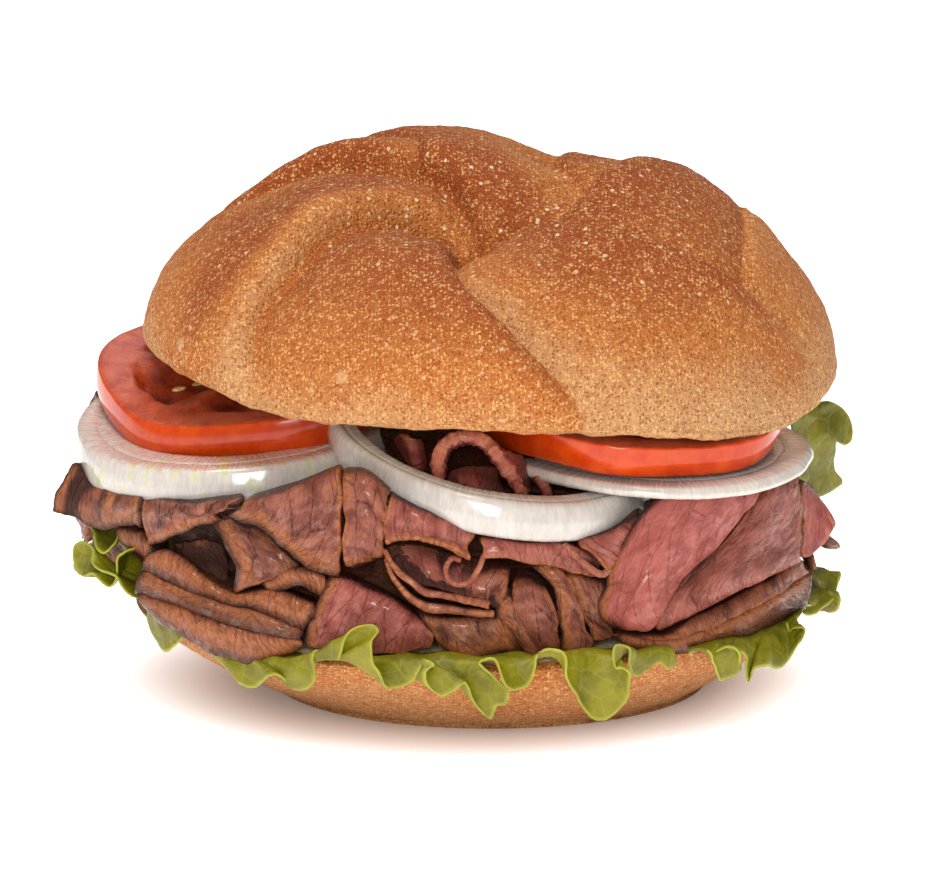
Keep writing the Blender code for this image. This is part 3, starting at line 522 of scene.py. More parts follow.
def seen(x, y, out, reach=SEEN_HALF, middle=PILE_MIDDLE[0]):
    """Where a pixel of the photograph lies, this far out from the side of the pile."""
    along = ((x - ORIGIN_PX[0]) / PX_A_MM - middle) / reach[0]
    return at_depth(x, y, -reach[1] * math.sqrt(max(LEAST_SIDE, 1 - along ** 2)) - out)


def closer_at_ends(count):
    """Places from 0 to 1 that lie closer together near both ends, where an edge is rounded."""
    even = np.linspace(0, 1, count)
    return 0.55 * even + 0.45 * (1 - np.cos(math.pi * even)) / 2


def loft(rows, down, across):
    """A grid of points through rows of places, each row a smooth curve."""
    curves = np.array([spline(row, closer_at_ends(across)) for row in rows])
    steps = np.linalg.norm(np.diff(curves, axis=0), axis=2).mean(axis=1) + 1e-6
    lengths = np.concatenate([[0], np.cumsum(steps)]) / steps.sum()
    spots = np.interp(closer_at_ends(down), lengths, np.arange(len(rows)))
    ends = np.concatenate([[2 * curves[0] - curves[1]], curves, [2 * curves[-1] - curves[-2]]])
    start = np.minimum(spots.astype(int), len(rows) - 2)
    return smooth_between(ends, start, (spots - start)[:, None, None])


def normals(grid):
    """The direction that each point of a grid faces."""
    down, over = np.gradient(grid, axis=0), np.gradient(grid, axis=1)
    normal = np.cross(over, down)
    return normal / (np.linalg.norm(normal, axis=2)[..., None] + 1e-12)


def edge_distances(grid):
    """How far each point of a grid is from its first and last row and its first and last column."""
    down = np.linalg.norm(np.diff(grid, axis=0), axis=2)
    over = np.linalg.norm(np.diff(grid, axis=1), axis=2)
    from_first = np.concatenate([np.zeros((1, grid.shape[1])), np.cumsum(down, axis=0)])
    from_left = np.concatenate([np.zeros((grid.shape[0], 1)), np.cumsum(over, axis=1)], axis=1)
    return from_first, from_first[-1] - from_first, from_left, from_left[:, -1:] - from_left


def ragged(grid, rough, seed):
    """The grid with its four edges moved in and out unevenly, as a knife and a torn edge leave them."""
    moved = grid.copy()
    sides = edge_distances(grid)
    for side, (edge, inner, axis) in enumerate([(0, 3, 0), (-1, -4, 0), (0, 3, 1), (-1, -4, 1)]):
        turned = np.moveaxis(grid, axis, 0)
        ahead = turned[edge] - turned[inner]
        ahead /= np.linalg.norm(ahead, axis=1)[:, None] + 1e-9
        shift = lumps(turned[edge], 3.5, seed + side) * rough
        shift += lumps(turned[edge], 1.0, seed + side + 4) * rough * 0.25
        push = (ahead * shift[:, None])[None] if axis == 0 else (ahead * shift[:, None])[:, None]
        moved += push * np.exp(-sides[side] / 2.5)[..., None]
    return moved


def crumpled(grid, waves, rough, free, seed, steady=1.0):
    """The grid with ragged edges and with waves of (size, height, seed step) that are whole where it
    is this far from its tucked-in side."""
    wave = sum(lumps(grid, size, seed + step) * high for size, high, step in waves)
    share = np.clip(edge_distances(grid)[0] / free, 0, 1) * steady
    return ragged(grid + normals(grid) * (wave * share)[..., None], rough * steady, seed)


def thick_sheet(grid, thick, curve=1.0):
    """Points and faces of a closed sheet about a grid, with rounded edges."""
    nearest = np.min(edge_distances(grid), axis=0)
    inside = np.clip(nearest / (thick * 0.5 * curve), 0, 1)
    half = (thick / 2 * np.sqrt(np.clip(1 - (1 - inside) ** 2, 0, 1)))[..., None]
    rows, columns = grid.shape[:2]
    front, back = grid + normals(grid) * half, grid - normals(grid) * half
    points = np.concatenate([front.reshape(-1, 3), back.reshape(-1, 3)])
    count = rows * columns
    same = np.arange(count * 2)
    border = np.zeros((rows, columns), bool)
    border[[0, -1]] = True
    border[:, [0, -1]] = True
    same[count:][border.ravel()] = np.arange(count)[border.ravel()]
    faces = np.concatenate([grid_faces(rows, columns, flip=True), same[grid_faces(rows, columns, count)]])
    return points, faces


beef = new_finish("roast_beef")
fibre = beef.places("fibre")
stretched = beef.node("Mapping", {"vector_type": "POINT"}, Vector=fibre, Scale=(0.22, 1.0, 1.0)).outputs[0]
strands = beef.noise(stretched, 2.6, 4, 0.65)
mottle = beef.noise(fibre, 0.3, 4, 0.6)
char_cloud = beef.noise(fibre, 1.3, 4, 0.7)
grey = beef.blend(beef.ramp(mottle, 0.34, 0.66), paint(86, 44, 26), paint(152, 92, 68))
pinks = beef.blend(beef.ramp(mottle, 0.3, 0.7), paint(150, 68, 56), paint(182, 98, 88))
meat = beef.blend(beef.fact("pink"), grey, pinks)
meat = beef.blend(beef.math("MULTIPLY", beef.ramp(strands, 0.56, 0.72), 0.22), meat, paint(196, 142, 120))
streak = beef.math("MULTIPLY_ADD", beef.fact("pink"), -0.45, 0.6)
meat = beef.blend(beef.math("MULTIPLY", beef.ramp(strands, 0.47, 0.34), streak), meat, paint(78, 28, 20))
crack = beef.ramp(beef.borders(stretched, 0.35), 0.035, 0.0)
crack = beef.math("MULTIPLY", crack, beef.ramp(char_cloud, 0.42, 0.54))
crack_dark = beef.math("MULTIPLY", crack, beef.math("SUBTRACT", 0.9, beef.fact("pink")))
meat = beef.blend(crack_dark, meat, paint(30, 10, 8))
browned = beef.math("ADD", beef.fact("browned"), beef.math("MULTIPLY_ADD", char_cloud, 1.0, -0.5))
toast = beef.blend(beef.ramp(char_cloud, 0.35, 0.65), paint(128, 66, 32), paint(178, 106, 60))
smooth_brown = beef.math("ADD", beef.fact("browned"), beef.math("MULTIPLY_ADD", mottle, 0.7, -0.35))
meat = beef.blend(beef.math("MULTIPLY", beef.ramp(smooth_brown, 0.12, 0.5), 0.88), meat, toast)
meat = beef.blend(beef.math("MULTIPLY", beef.ramp(browned, 0.72, 1.0), 0.85), meat, paint(66, 26, 10))
charred = beef.math("MULTIPLY", beef.ramp(browned, 1.02, 1.25), 0.92)
meat = beef.blend(charred, meat, paint(22, 10, 8))
# Painted shade: the meat darkens to near black where "deep" says it lies in a crevice behind other slices.
crevice_shade_paint = beef.math("ADD", beef.fact("deep"), beef.math("MULTIPLY_ADD", mottle, 0.5, -0.25))
meat = beef.blend(beef.math("MULTIPLY", beef.ramp(crevice_shade_paint, 0.12, 0.75), 0.86), meat, paint(40, 14, 9))
# The coat thins in the same crevices, so that the painted shade there keeps no bright reflection.
coat_off_in_crevices = beef.math("MULTIPLY", beef.fact("deep"), 0.6)
wet = beef.math("SUBTRACT", beef.noise(fibre, 0.6, 3, 0.6), coat_off_in_crevices)
wrinkles = beef.math("ADD", beef.math("MULTIPLY", strands, 0.8), beef.math("MULTIPLY", char_cloud, 0.6))
wrinkles = beef.math("MULTIPLY_ADD", crack, -0.6, wrinkles)
beef.look(Base_Color=meat, Roughness=beef.ramp(char_cloud, 0.3, 0.7, 0.24, 0.6),
          Specular_IOR_Level=0.3, Normal=beef.bump(0.8, 0.0007, wrinkles),
          Coat_Weight=beef.ramp(wet, 0.47, 0.62, 0.0, 0.5), Coat_Roughness=0.07,
          Subsurface_Weight=0.08, Subsurface_Radius=(0.004, 0.0012, 0.0008), Subsurface_Scale=0.4)

# Each slice: how pink it is, how far in from each edge it is browned, as (first row, last row, left,
# right), and rows of (x, y, out) in the photograph's pixels and millimetres out. A slice of two rows
# is a ribbon, seen edge on. "worn" is how uneven its thickness is.
SHOWN_SLICES = [
    # The left end, under the left ring.
    {"pink": 0.15, "browned": (0, 1.6, 0.8, 0),
     "rows": [
         [(84, 470, -8), (102, 478, -8), (120, 488, -8)],
         [(73, 465, 0), (91, 484, 1), (113, 494, 1)],
         [(60, 488, 1.2), (80, 502, 2), (110, 512, 1.5)],
         [(54, 514, 0.5), (76, 519, 1), (97, 527, 0.6), (112, 530, 0)]]},
    {"pink": 0.1, "browned": (0, 2.2, 3, 1.5),
     "rows": [
         [(110, 484, -8), (130, 490, -8), (150, 492, -8)],
         [(107, 492, 1.6), (128, 499, 2), (148, 502, 1.8)],
         [(103, 512, 2), (124, 517, 2.3), (147, 520, 2)],
         [(109, 530, 1), (128, 526, 1.3), (140, 523, 1.3), (148, 531, 0.4)]]},
    {"pink": 0.2, "browned": (0, 1.4, 0.5, 0.8),
     "rows": [
         [(146, 494, -8), (195, 497, -8), (246, 494, -8)],
         [(145, 503, 1.8), (195, 506, 2.6), (247, 501, 1.7)],
         [(147, 524, 2.3), (183, 521, 3), (220, 511, 2.4)],
         [(154, 545, 1.2), (186, 534, 2.2), (226, 517, 1.6)]]},
    {"pink": 0, "browned": (2, 2, 2, 2),
     "rows": [
         [(118, 520, -3), (140, 524, -3), (160, 540, -3)],
         [(120, 530, 0), (140, 536, 0), (160, 552, 0)],
         [(126, 544, -1), (142, 552, -1), (158, 566, -1)]]},
    {"pink": 0, "browned": (3, 3, 3, 3),
     "rows": [
         [(92, 518, -11), (125, 520, -12), (168, 526, -12)],
         [(98, 550, -9), (130, 560, -10), (170, 568, -10)],
         [(128, 588, -8), (150, 597, -9), (180, 602, -9)]]},
    # The broad folded slice left of the middle, and the fold under it.
    {"pink": 0.3, "browned": (0, 2.2, 0.5, 0),
     "rows": [
         [(260, 496, -8), (300, 484, -8), (346, 466, -8)],
         [(250, 503, 1.6), (300, 492, 2.6), (345, 474, 2)],
         [(243, 508, 2.6), (296, 517, 4.4), (345, 522, 3.2)],
         [(232, 515, 2), (262, 527, 3.4), (289, 548, 3.4), (316, 570, 2.8), (343, 575, 1.8)]]},
    {"pink": 0.1, "browned": (0, 0.8, 2.4, 0),
     "rows": [
         [(214, 521, 0.4), (234, 515, 0.2), (262, 524, -0.6)],
         [(226, 541, 1.8), (250, 540, 1.8), (284, 547, 0.4)],
         [(238, 566, 2.4), (258, 563, 2.4), (302, 565, 0.8)],
         [(236, 593, 1.8), (254, 586, 2.2), (274, 578, 1.8)]]},
    {"pink": 0, "browned": (0.5, 0.5, 0.5, 0),
     "rows": [
         [(176, 543, -1), (205, 538, -3), (226, 543, -5)],
         [(190, 562, -1.5), (212, 560, -2.5), (230, 566, -4)],
         [(208, 581, 0.2), (222, 588, 0), (233, 595, -1)]]},
    {"pink": 0, "browned": (0, 2, 1, 1),
     "rows": [
         [(270, 580, -3), (300, 572, -3), (332, 590, -3)],
         [(267, 583, 1.2), (298, 569, 2.2), (322, 575, 2), (332, 594, 1)],
         [(276, 590, 1), (300, 583, 2), (317, 590, 1.8), (326, 602, 1)]]},
    # The stack at the lower left.
    {"pink": 0.15, "browned": (2, 3, 2, 2),
     "rows": [
         [(152, 555, -7), (205, 566, -7), (262, 580, -7), (318, 600, -7)],
         [(149, 559, 1.8), (175, 553, 1.8), (205, 578, 2.2), (236, 594, 2.4), (275, 592, 2.4),
          (320, 610, 1.8)],
         [(144, 570, 2.6), (166, 578, 3), (195, 592, 3.2), (224, 604, 3.2), (258, 611, 3.2),
          (308, 628, 2.4)]]},
    {"lengthwise": True, "pink": 0, "browned": (0, 4, 3, 3),
     "rows": [
         [(146, 568, -3), (195, 588, -3), (256, 606, -3), (306, 626, -3)],
         [(145, 570, 2.2), (165, 579, 2.8), (195, 593, 3.2), (224, 605, 3.2), (256, 611, 3.2),
          (306, 630, 2.4)],
         [(140, 580, 3.6), (162, 590, 4.2), (198, 603, 4.6), (224, 613, 4.6), (256, 620, 4.6),
          (305, 635, 3.2)],
         [(139, 590, 2.4), (161, 598, 3), (200, 609, 3.6), (224, 619, 3.6), (254, 627, 3.6),
          (302, 640, 2.6)]]},
    {"pink": 0.2, "browned": (1.5, 4, 3, 0),
     "rows": [
         [(144, 584, -3), (166, 592, -3), (200, 602, -3), (240, 616, -3), (300, 630, -3)],
         [(140, 592, 2.4), (163, 601, 3.2), (200, 613, 3.8), (240, 626, 3.8), (303, 638, 2.6)],
         [(146, 600, 2.8), (168, 616, 3.8), (205, 632, 4.4), (245, 644, 4.4), (304, 643, 2.8)],
         [(153, 606, 1.2), (170, 622, 2.2), (205, 642, 2.8), (238, 657, 3), (262, 662, 2.8), (290, 650, 2)]]},
    # The ribbed slice that hangs under the middle ring, curled under at its foot.
    {"pink": 0.3, "browned": (0, 4, 0, 0), "ribs": 0.3,
     "rows": [
         [(345, 470, -7), (368, 472, -7), (393, 488, -7)],
         [(346, 478, 2), (368, 482, 2.6), (390, 498, 1.8)],
         [(346, 515, 2.8), (366, 516, 3.6), (387, 522, 2.4)],
         [(347, 542, 3.2), (366, 541, 3.9), (386, 540, 3)],
         [(348, 560, 2.4), (366, 553, 3.4), (386, 548, 3)],
         [(352, 566, -2), (368, 560, -2), (388, 554, -2)]]},
    # The fold like a conch: its upper face, the hollow under its lip, and two rims below.
    {"pink": 0.6, "browned": (0, 0, 0.3, 0),
     "rows": [
         [(390, 488, -7), (432, 508, -7), (480, 526, -7)],
         [(389, 498, 2), (427, 516, 3), (476, 535, 2.2)],
         [(385, 524, 3), (420, 530, 4), (468, 546, 3)],
         [(385, 543, 3.8), (414, 538, 5), (445, 547, 4.8), (470, 557, 3.8)]]},
    {"pink": 0.55, "browned": (0, 0.3, 0, 0),
     "rows": [
         [(387, 545, 1.5), (413, 541, -0.5), (445, 550, -0.5), (484, 560, 0.5)],
         [(391, 555, 1.8), (415, 558, 1.2), (446, 567, 1.6), (488, 575, 2.4)],
         [(399, 569, 2.6), (421, 583, 3), (448, 592, 3.4), (490, 601, 3.4)]]},
    {"lengthwise": True, "pink": 0.45, "browned": (0, 0.4, 0, 0), "thick": 0.8,
     "rows": [
         [(387, 546, 0), (400, 564, 0), (426, 586, 0), (456, 593, 0), (490, 600, 0)],
         [(386, 547, 3.6), (398, 566, 4.2), (424, 588, 4.8), (456, 595, 4.8), (490, 602, 4.4)],
         [(386, 550, 3.8), (397, 571, 4.4), (422, 593, 5), (456, 600, 5), (491, 606, 4.4)]]},
    {"lengthwise": True, "pink": 0.25, "browned": (0, 0.8, 0, 0), "thick": 0.8,
     "rows": [
         [(387, 552, 0), (398, 575, 0), (421, 597, 0), (456, 604, 0), (492, 610, 0)],
         [(386, 553, 3.4), (396, 577, 4.2), (419, 599, 4.8), (455, 606, 4.8), (492, 611, 4.2)],
         [(387, 556, 3.2), (397, 583, 4), (418, 604, 4.4), (453, 612, 4.4), (491, 615, 3.8)]]},
    # The rest of that slice: its looped edge, the lip to the right, and the fold that ends it.
    {"pink": 0.7, "browned": (0, 0, 0, 0), "thick": 0.95,
     "rows": [
         [(500, 552, -5), (484, 553, -5), (479, 566, -5), (470, 579, -5), (459, 583, -5), (449, 578, -5),
          (446, 567, -5), (452, 558, -5), (461, 559, -5)],
         [(500, 553, 4.2), (485, 553, 4.3), (479, 566, 4.4), (470, 579, 4.4), (459, 583, 4.3),
          (449, 578, 4.1), (446, 567, 3.9), (452, 557, 3.7), (462, 559, 3.2)]]},
    {"pink": 0.7, "browned": (0, 0.3, 0, 0),
     "rows": [
         [(476, 530, -7), (520, 538, -7), (565, 537, -7), (602, 540, -7)],
         [(477, 537, 2), (520, 543, 3.2), (562, 545, 2.7), (600, 556, 1.4)],
         [(480, 547, 3.6), (515, 549, 4.2), (555, 557, 3.6), (598, 566, 1.8)],
         [(482, 556, 3.6), (512, 558, 4.4), (548, 565, 3.8), (575, 574, 2.8), (598, 576, 1.6)]]},
    {"pink": 0.6, "browned": (0, 0, 0, 0), "thick": 1.3,
     "rows": [
         [(561, 543, -3), (573, 554, -3), (586, 564, -3), (598, 571, -3), (604, 569, -3), (606, 560, -3)],
         [(561, 543, 3.6), (573, 554, 3.8), (586, 565, 4), (598, 572, 4), (605, 569, 4), (606, 560, 3.8)]]},
    {"pink": 0.65, "browned": (0, 0.5, 0, 0),
     "rows": [
         [(580, 538, -5), (610, 526, -5), (640, 508, -5)],
         [(579, 542, 2.8), (609, 533, 3), (637, 515, 2)],
         [(594, 556, 3.8), (612, 546, 3.6), (629, 535, 2)],
         [(604, 571, 3.4), (610, 562, 3.2), (618, 550, 1.8)]]},
    {"pink": 0.25, "browned": (0, 0.6, 0, 1),
     "rows": [
         [(472, 556, -2), (492, 557, -2), (512, 558, -2)],
         [(470, 571, 1.9), (492, 573, 2.8), (511, 573, 2.2)],
         [(456, 585, 2.2), (485, 590, 3.2), (508, 588, 2.6)],
         [(440, 596, 1.6), (474, 601, 2.8), (498, 607, 2.4)]]},
    # The lower front: a pink slice, a brown one, and upright slices behind the pink cone.
    {"pink": 0.75, "browned": (0, 0.5, 1.6, 0),
     "rows": [
         [(335, 574, -4), (354, 576, -4), (394, 596, -4), (440, 628, -4)],
         [(331, 578, 1.8), (351, 584, 2.8), (391, 602, 2.8), (437, 631, 1.8)],
         [(317, 607, 2.4), (350, 612, 3.8), (394, 622, 3.4), (436, 638, 1.8)],
         [(306, 643, 1.8), (335, 651, 2.6), (385, 650, 2.6), (432, 644, 1.4)]]},
    {"pink": 0, "browned": (0, 2, 2, 2),
     "rows": [
         [(412, 602, -2), (450, 608, -2), (490, 606, -2), (508, 613, -2)],
         [(416, 609, 2.2), (450, 618, 3.4), (490, 618, 3.2), (508, 626, 2)],
         [(427, 624, 2.6), (455, 636, 3.8), (490, 636, 3.4), (515, 637, 2.2)],
         [(436, 637, 1.4), (458, 653, 2.6), (478, 657, 2.8), (502, 647, 2.2), (521, 646, 1.2)]]},
    {"pink": 0.15, "browned": (0, 0.6, 1.2, 0),
     "rows": [
         [(506, 578, 0), (511, 588, 0), (517, 598, 0)],
         [(496, 604, 2.2), (508, 605, 3.2), (520, 612, 2.2)],
         [(507, 622, 2.2), (518, 624, 3.2), (529, 633, 2.4)],
         [(523, 642, 1.2), (532, 651, 2.2), (538, 656, 1.6)]]},
    {"pink": 0.3, "browned": (0, 0.5, 0, 0.8),
     "rows": [
         [(518, 570, -1), (530, 571, -1), (542, 581, -1)],
         [(512, 585, 2.2), (528, 588, 3.2), (548, 592, 2.4)],
         [(518, 612, 2.8), (537, 612, 3.9), (556, 614, 2.8)],
         [(529, 634, 2.2), (543, 640, 3.2), (559, 642, 2.2)],
         [(537, 656, 0.6), (548, 650, 1.2), (558, 646, 0.6)]]},
    {"pink": 0.25, "browned": (0, 0.8, 1.4, 0.6),
     "rows": [
         [(520, 556, 0), (540, 558, 0), (558, 564, 0)],
         [(537, 569, 2.8), (550, 567, 3.5), (561, 572, 2.6)],
         [(552, 590, 3.2), (562, 588, 4), (572, 593, 3.2)],
         [(556, 618, 3.2), (569, 617, 4), (583, 618, 3.2)],
         [(560, 646, 1.6), (575, 653, 2.6), (591, 641, 2)]]},
    {"pink": 0.15, "browned": (0, 1, 1, 0.5),
     "rows": [
         [(558, 566, -1), (580, 570, -1), (604, 576, -1)],
         [(560, 574, 2.2), (580, 580, 2.8), (602, 586, 1.8)],
         [(571, 594, 2.6), (587, 598, 3), (605, 608, 1.8)],
         [(582, 618, 2.4), (596, 622, 2.8), (610, 630, 1.8)],
         [(590, 642, 1.6), (600, 640, 1.8), (612, 634, 1)]]},
    # The right end: a pink slice folded into a cone, the slice under it, and the lowest one.
    {"pink": 1, "browned": (0, 0.3, 1.2, 0),
     "rows": [
         [(642, 504, -6), (690, 488, -6), (758, 480, -6)],
         [(640, 512, 1.8), (668, 497, 4.2), (712, 494, 5.2), (756, 490, 4.2)],
         [(617, 545, 2.4), (640, 535, 4.8), (685, 530, 6.8), (724, 534, 4.8)],
         [(601, 585, 2.8), (628, 585, 5.3), (655, 578, 6.8), (683, 571, 4.8)],
         [(597, 609, 2.7), (620, 612, 5.2), (642, 610, 6.2), (662, 600, 4.7)],
         [(610, 624, 1.2), (628, 628, 3.2), (645, 629, 3.7), (657, 615, 3.2)]]},
    {"pink": 0.55, "browned": (0, 2.4, 0, 1.2),
     "rows": [
         [(758, 478, -5), (776, 474, -5), (796, 470, -5)],
         [(750, 496, 2.2), (772, 486, 3.2), (794, 479, 1.8)],
         [(722, 536, 3.2), (758, 525, 5.2), (798, 512, 3.2)],
         [(682, 575, 3.2), (735, 560, 6.2), (798, 540, 3.7)],
         [(655, 610, 3.2), (715, 583, 6.7), (760, 567, 6.2), (797, 552, 3.7)],
         [(654, 627, 2.2), (707, 599, 4.7), (757, 577, 4.7), (797, 558, 2.2)],
         [(660, 622, -3), (708, 594, -3), (757, 572, -3), (795, 555, -3)]]},
    {"pink": 1, "browned": (0, 0, 0, 0.3),
     "rows": [
         [(797, 480, -3), (806, 488, -3), (812, 496, -3)],
         [(796, 493, 1.2), (812, 501, 1.7), (824, 512, 0.7)],
         [(797, 520, 2.2), (812, 524, 2.6), (829, 524, 1.2)],
         [(797, 556, 1.2), (806, 556, 1.8), (819, 543, 1.2)]]},
    {"pink": 0.15, "browned": (0, 0.4, 0, 1),
     "rows": [
         [(612, 626, -5), (660, 618, -5), (740, 582, -5), (800, 549, -5)],
         [(610, 630, 1.2), (655, 634, 2.2), (700, 615, 3.2), (770, 580, 3.2), (799, 559, 1.8)],
         [(612, 634, 2.4), (656, 641, 3.7), (696, 632, 4.6), (760, 602, 4.6), (807, 572, 2.4)]]},
    {"lengthwise": True, "pink": 0, "browned": (1, 7, 2, 3),
     "rows": [
         [(614, 632, 0), (656, 638, 0), (696, 629, 0), (760, 600, 0), (806, 572, 0)],
         [(612, 634, 2.6), (656, 641, 4), (696, 633, 4.9), (760, 604, 4.9), (807, 575, 2.8)],
         [(620, 640, 2), (656, 646, 3.4), (700, 640, 4.2), (757, 618, 4.2), (807, 588, 2.4)],
         [(636, 648, 0.8), (662, 651, 1.6), (706, 642, 2.4), (763, 626, 2.4), (804, 607, 1.2)]]},
    # A slice deep in the middle ring's opening, browned through to char so that it is dark all over: painted
    # shade inside the ring.
    {"pink": 0.3, "browned": (60, 60, 60, 60),
     "rows": [
         [(380, 428, -24), (440, 425, -24), (520, 425, -24), (600, 428, -24)],
         [(384, 448, -20), (430, 446, -22), (520, 446, -22), (604, 450, -22)],
         [(390, 478, -8), (440, 488, -10), (520, 494, -10), (600, 492, -10)]]},
    # Edges that show through the middle ring, and a scrap behind the left one.
    {"pink": 0.9, "browned": (0, 0, 0, 0), "thick": 2.1, "worn": 0.5,
     "rows": [
         [(441, 480, -14), (440, 462, -14), (446, 447, -14), (458, 440, -14), (472, 438, -14),
          (484, 443, -14), (492, 452, -14)],
         [(439, 480, -4), (438, 462, -4), (444, 446, -4), (457, 438, -4), (472, 437, -4), (486, 443, -4),
          (494, 452, -4)]]},
    {"pink": 0.9, "browned": (0, 0, 0, 0), "thick": 2.1, "worn": 0.5,
     "rows": [
         [(491, 448, -11), (503, 463, -11), (513, 478, -11), (525, 496, -11)],
         [(491, 448, -3), (502, 463, -3), (512, 478, -3), (523, 496, -3)]]},
    {"pink": 0.85, "browned": (0, 0, 0, 0),
     "rows": [
         [(494, 448, -6), (506, 468, -6), (517, 494, -6)],
         [(506, 452, -8), (516, 468, -9), (526, 494, -9)],
         [(518, 458, -14), (526, 472, -16), (534, 496, -16)]]},
    {"pink": 0.9, "browned": (0, 0, 0, 0),
     "rows": [
         [(450, 474, -12), (470, 468, -13), (494, 470, -13)],
         [(446, 486, -9), (474, 480, -10), (502, 484, -10)],
         [(444, 500, -7), (474, 496, -8), (506, 500, -8)]]},
    {"pink": 0.9, "browned": (0, 0, 0, 0),
     "rows": [
         [(524, 474, -16), (533, 482, -16), (542, 498, -16)],
         [(534, 476, -9), (541, 484, -9), (547, 498, -9)],
         [(540, 476, -9.5), (547, 484, -9.5), (553, 498, -9.5)]]},
    {"pink": 0.9, "browned": (0, 0, 0, 0),
     "rows": [
         [(396, 436, -20), (402, 452, -20), (406, 480, -20)],
         [(408, 436, -13), (414, 454, -13), (418, 484, -13)],
         [(420, 438, -15), (424, 456, -16), (428, 484, -16)]]},
    {"pink": 0.1, "browned": (1, 1, 1.5, 0),
     "rows": [
         [(98, 389, -26), (102, 396, -26), (108, 404, -26)],
         [(89, 406, -26), (94, 411, -26), (102, 418, -26)],
         [(83, 429, -26), (88, 428, -26), (96, 430, -26)],
         [(82, 456, -25), (90, 458, -25), (100, 460, -25)]]},
]


MAP_RADIUS, MAP_HALF, MAP_HIGH = 57, 184, 80
CREVICE_LOOKS = [(1, 3, 2.8, 5), (0.5, 2, 0.75, 1.8)]
IN_RINGS_Z, IN_RINGS_DEEP = (42, 47), 0.3


class Pile:
    """The points, faces and facts of many sheets, gathered for one mesh."""

    def __init__(self):
        self.points, self.faces, self.facts, self.count = [], [], [], 0

    def add(self, points, faces, facts):
        self.points.append(points)
        self.faces.append(faces + self.count)
        self.facts.append(facts)
        self.count += len(points)

    def crevices(self):
        """Adds the fact "deep": how far each place lies behind the slices that stand out round it, which the
        beef's material paints as shade.

        The pile is laid flat as a map of cells, turn by height, that holds how far out its slices
        reach. A wide look finds the hollows between folds, and a close one the gaps."""
        points = np.concatenate(self.points)
        x, y = points[:, 0] - PILE_MIDDLE[0], points[:, 1] - PILE_MIDDLE[1]
        outward = np.hypot(x / PILE_HALF[0], y / PILE_HALF[1]) * MAP_RADIUS
        turned = np.arctan2(y, x) * MAP_RADIUS
        deep = np.zeros(len(points))
        for cell, reach, near, span in CREVICE_LOOKS:
            across, high = round(2 * MAP_HALF / cell), round(MAP_HIGH / cell)
            i = np.clip(np.round((turned + MAP_HALF) / cell).astype(int), reach, across - 1 - reach)
            k = np.clip(np.round(points[:, 2] / cell).astype(int), reach, high - 1 - reach)
            most = np.zeros((across, high))
            np.maximum.at(most, (i, k), outward)
            steps = range(-reach, reach + 1)
            round_about = np.max([np.roll(most, (a, b), (0, 1)) for a in steps for b in steps], axis=0)
            deep = np.maximum(deep, np.clip((round_about[i, k] - outward - near) / span, 0, 1))
        deep *= np.interp(points[:, 2], IN_RINGS_Z, (1, IN_RINGS_DEEP))
        start = 0
        for facts, made in zip(self.facts, self.points):
            facts["deep"] = deep[start:start + len(made)]
            start += len(made)

    def piece(self, name, finish):
        """The gathered sheets as one mesh object."""
        facts = {key: np.concatenate([f[key] for f in self.facts]) for key in self.facts[0]}
        faces = np.concatenate(self.faces).tolist()
        return new_piece(name, np.concatenate(self.points), faces, facts, finish)


def add_slice(pile, grid, pink, browned, thick, seed, ribbon=False, lengthwise=False):
    """One slice of meat: its waves, ragged edges and thickness, and what its material needs."""
    sides = edge_distances(grid)
    steady, curve = (0.25, 0.45) if ribbon else (1.0, 0.7)
    grid = crumpled(grid, SLICE_WAVES, SLICE_ROUGH, SLICE_FREE, seed, steady)
    points, faces = thick_sheet(grid, thick, curve)
    brown = np.zeros(grid.shape[:2])
    for distance, width in zip(sides, browned):
        if width:
            brown = np.maximum(brown, np.clip(1.2 - distance / width * 0.6, 0, 1.2))
    rim = 0.35 if ribbon else 0.95 - 0.45 * pink
    nearest = np.min(sides, axis=0)
    edge = np.maximum(np.exp(-nearest / 0.9), 0.62 * (1 - pink) * np.exp(-nearest / 3.5))
    brown = np.maximum(brown, rim * edge)
    along, over = (sides[2], sides[0]) if ribbon or lengthwise else (sides[0], sides[2])
    fibre = np.stack([along, over, np.full(grid.shape[:2], seed * 11.3)], -1)
    pile.add(points, faces, {"browned": np.tile(brown.ravel(), 2), "pink": np.full(len(points), float(pink)),
                             "fibre": np.tile(fibre.reshape(-1, 3), (2, 1))})


shown = Pile()
for number, cut in enumerate(SHOWN_SLICES):
    ribbon = len(cut["rows"]) == 2
    grid = loft([[seen(*place) for place in row] for row in cut["rows"]], 30, 110 if ribbon else 44)
    if "ribs" in cut:
        ribs = np.sin(edge_distances(grid)[0] * 1.7 + lumps(grid, 6, 3) * 2) * cut["ribs"]
        grid = grid + np.array([0, -1, 0]) * ribs[..., None]
    thick = cut.get("thick", SLICE_THICK)
    if "worn" in cut:
        thick = thick * (1 + cut["worn"] * (lumps(grid, 1.6, number) + 0.8 * lumps(grid, 0.75, number + 3)))
    add_slice(shown, grid, cut["pink"], cut["browned"], thick, number + 1, ribbon, "lengthwise" in cut)

# Painted shade: each slice darkens where it lies behind the slices round it.
shown.crevices()
slices_front = shown.piece("roast_beef_front", beef.material)
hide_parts("roast_beef")
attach(slices_front, "root")

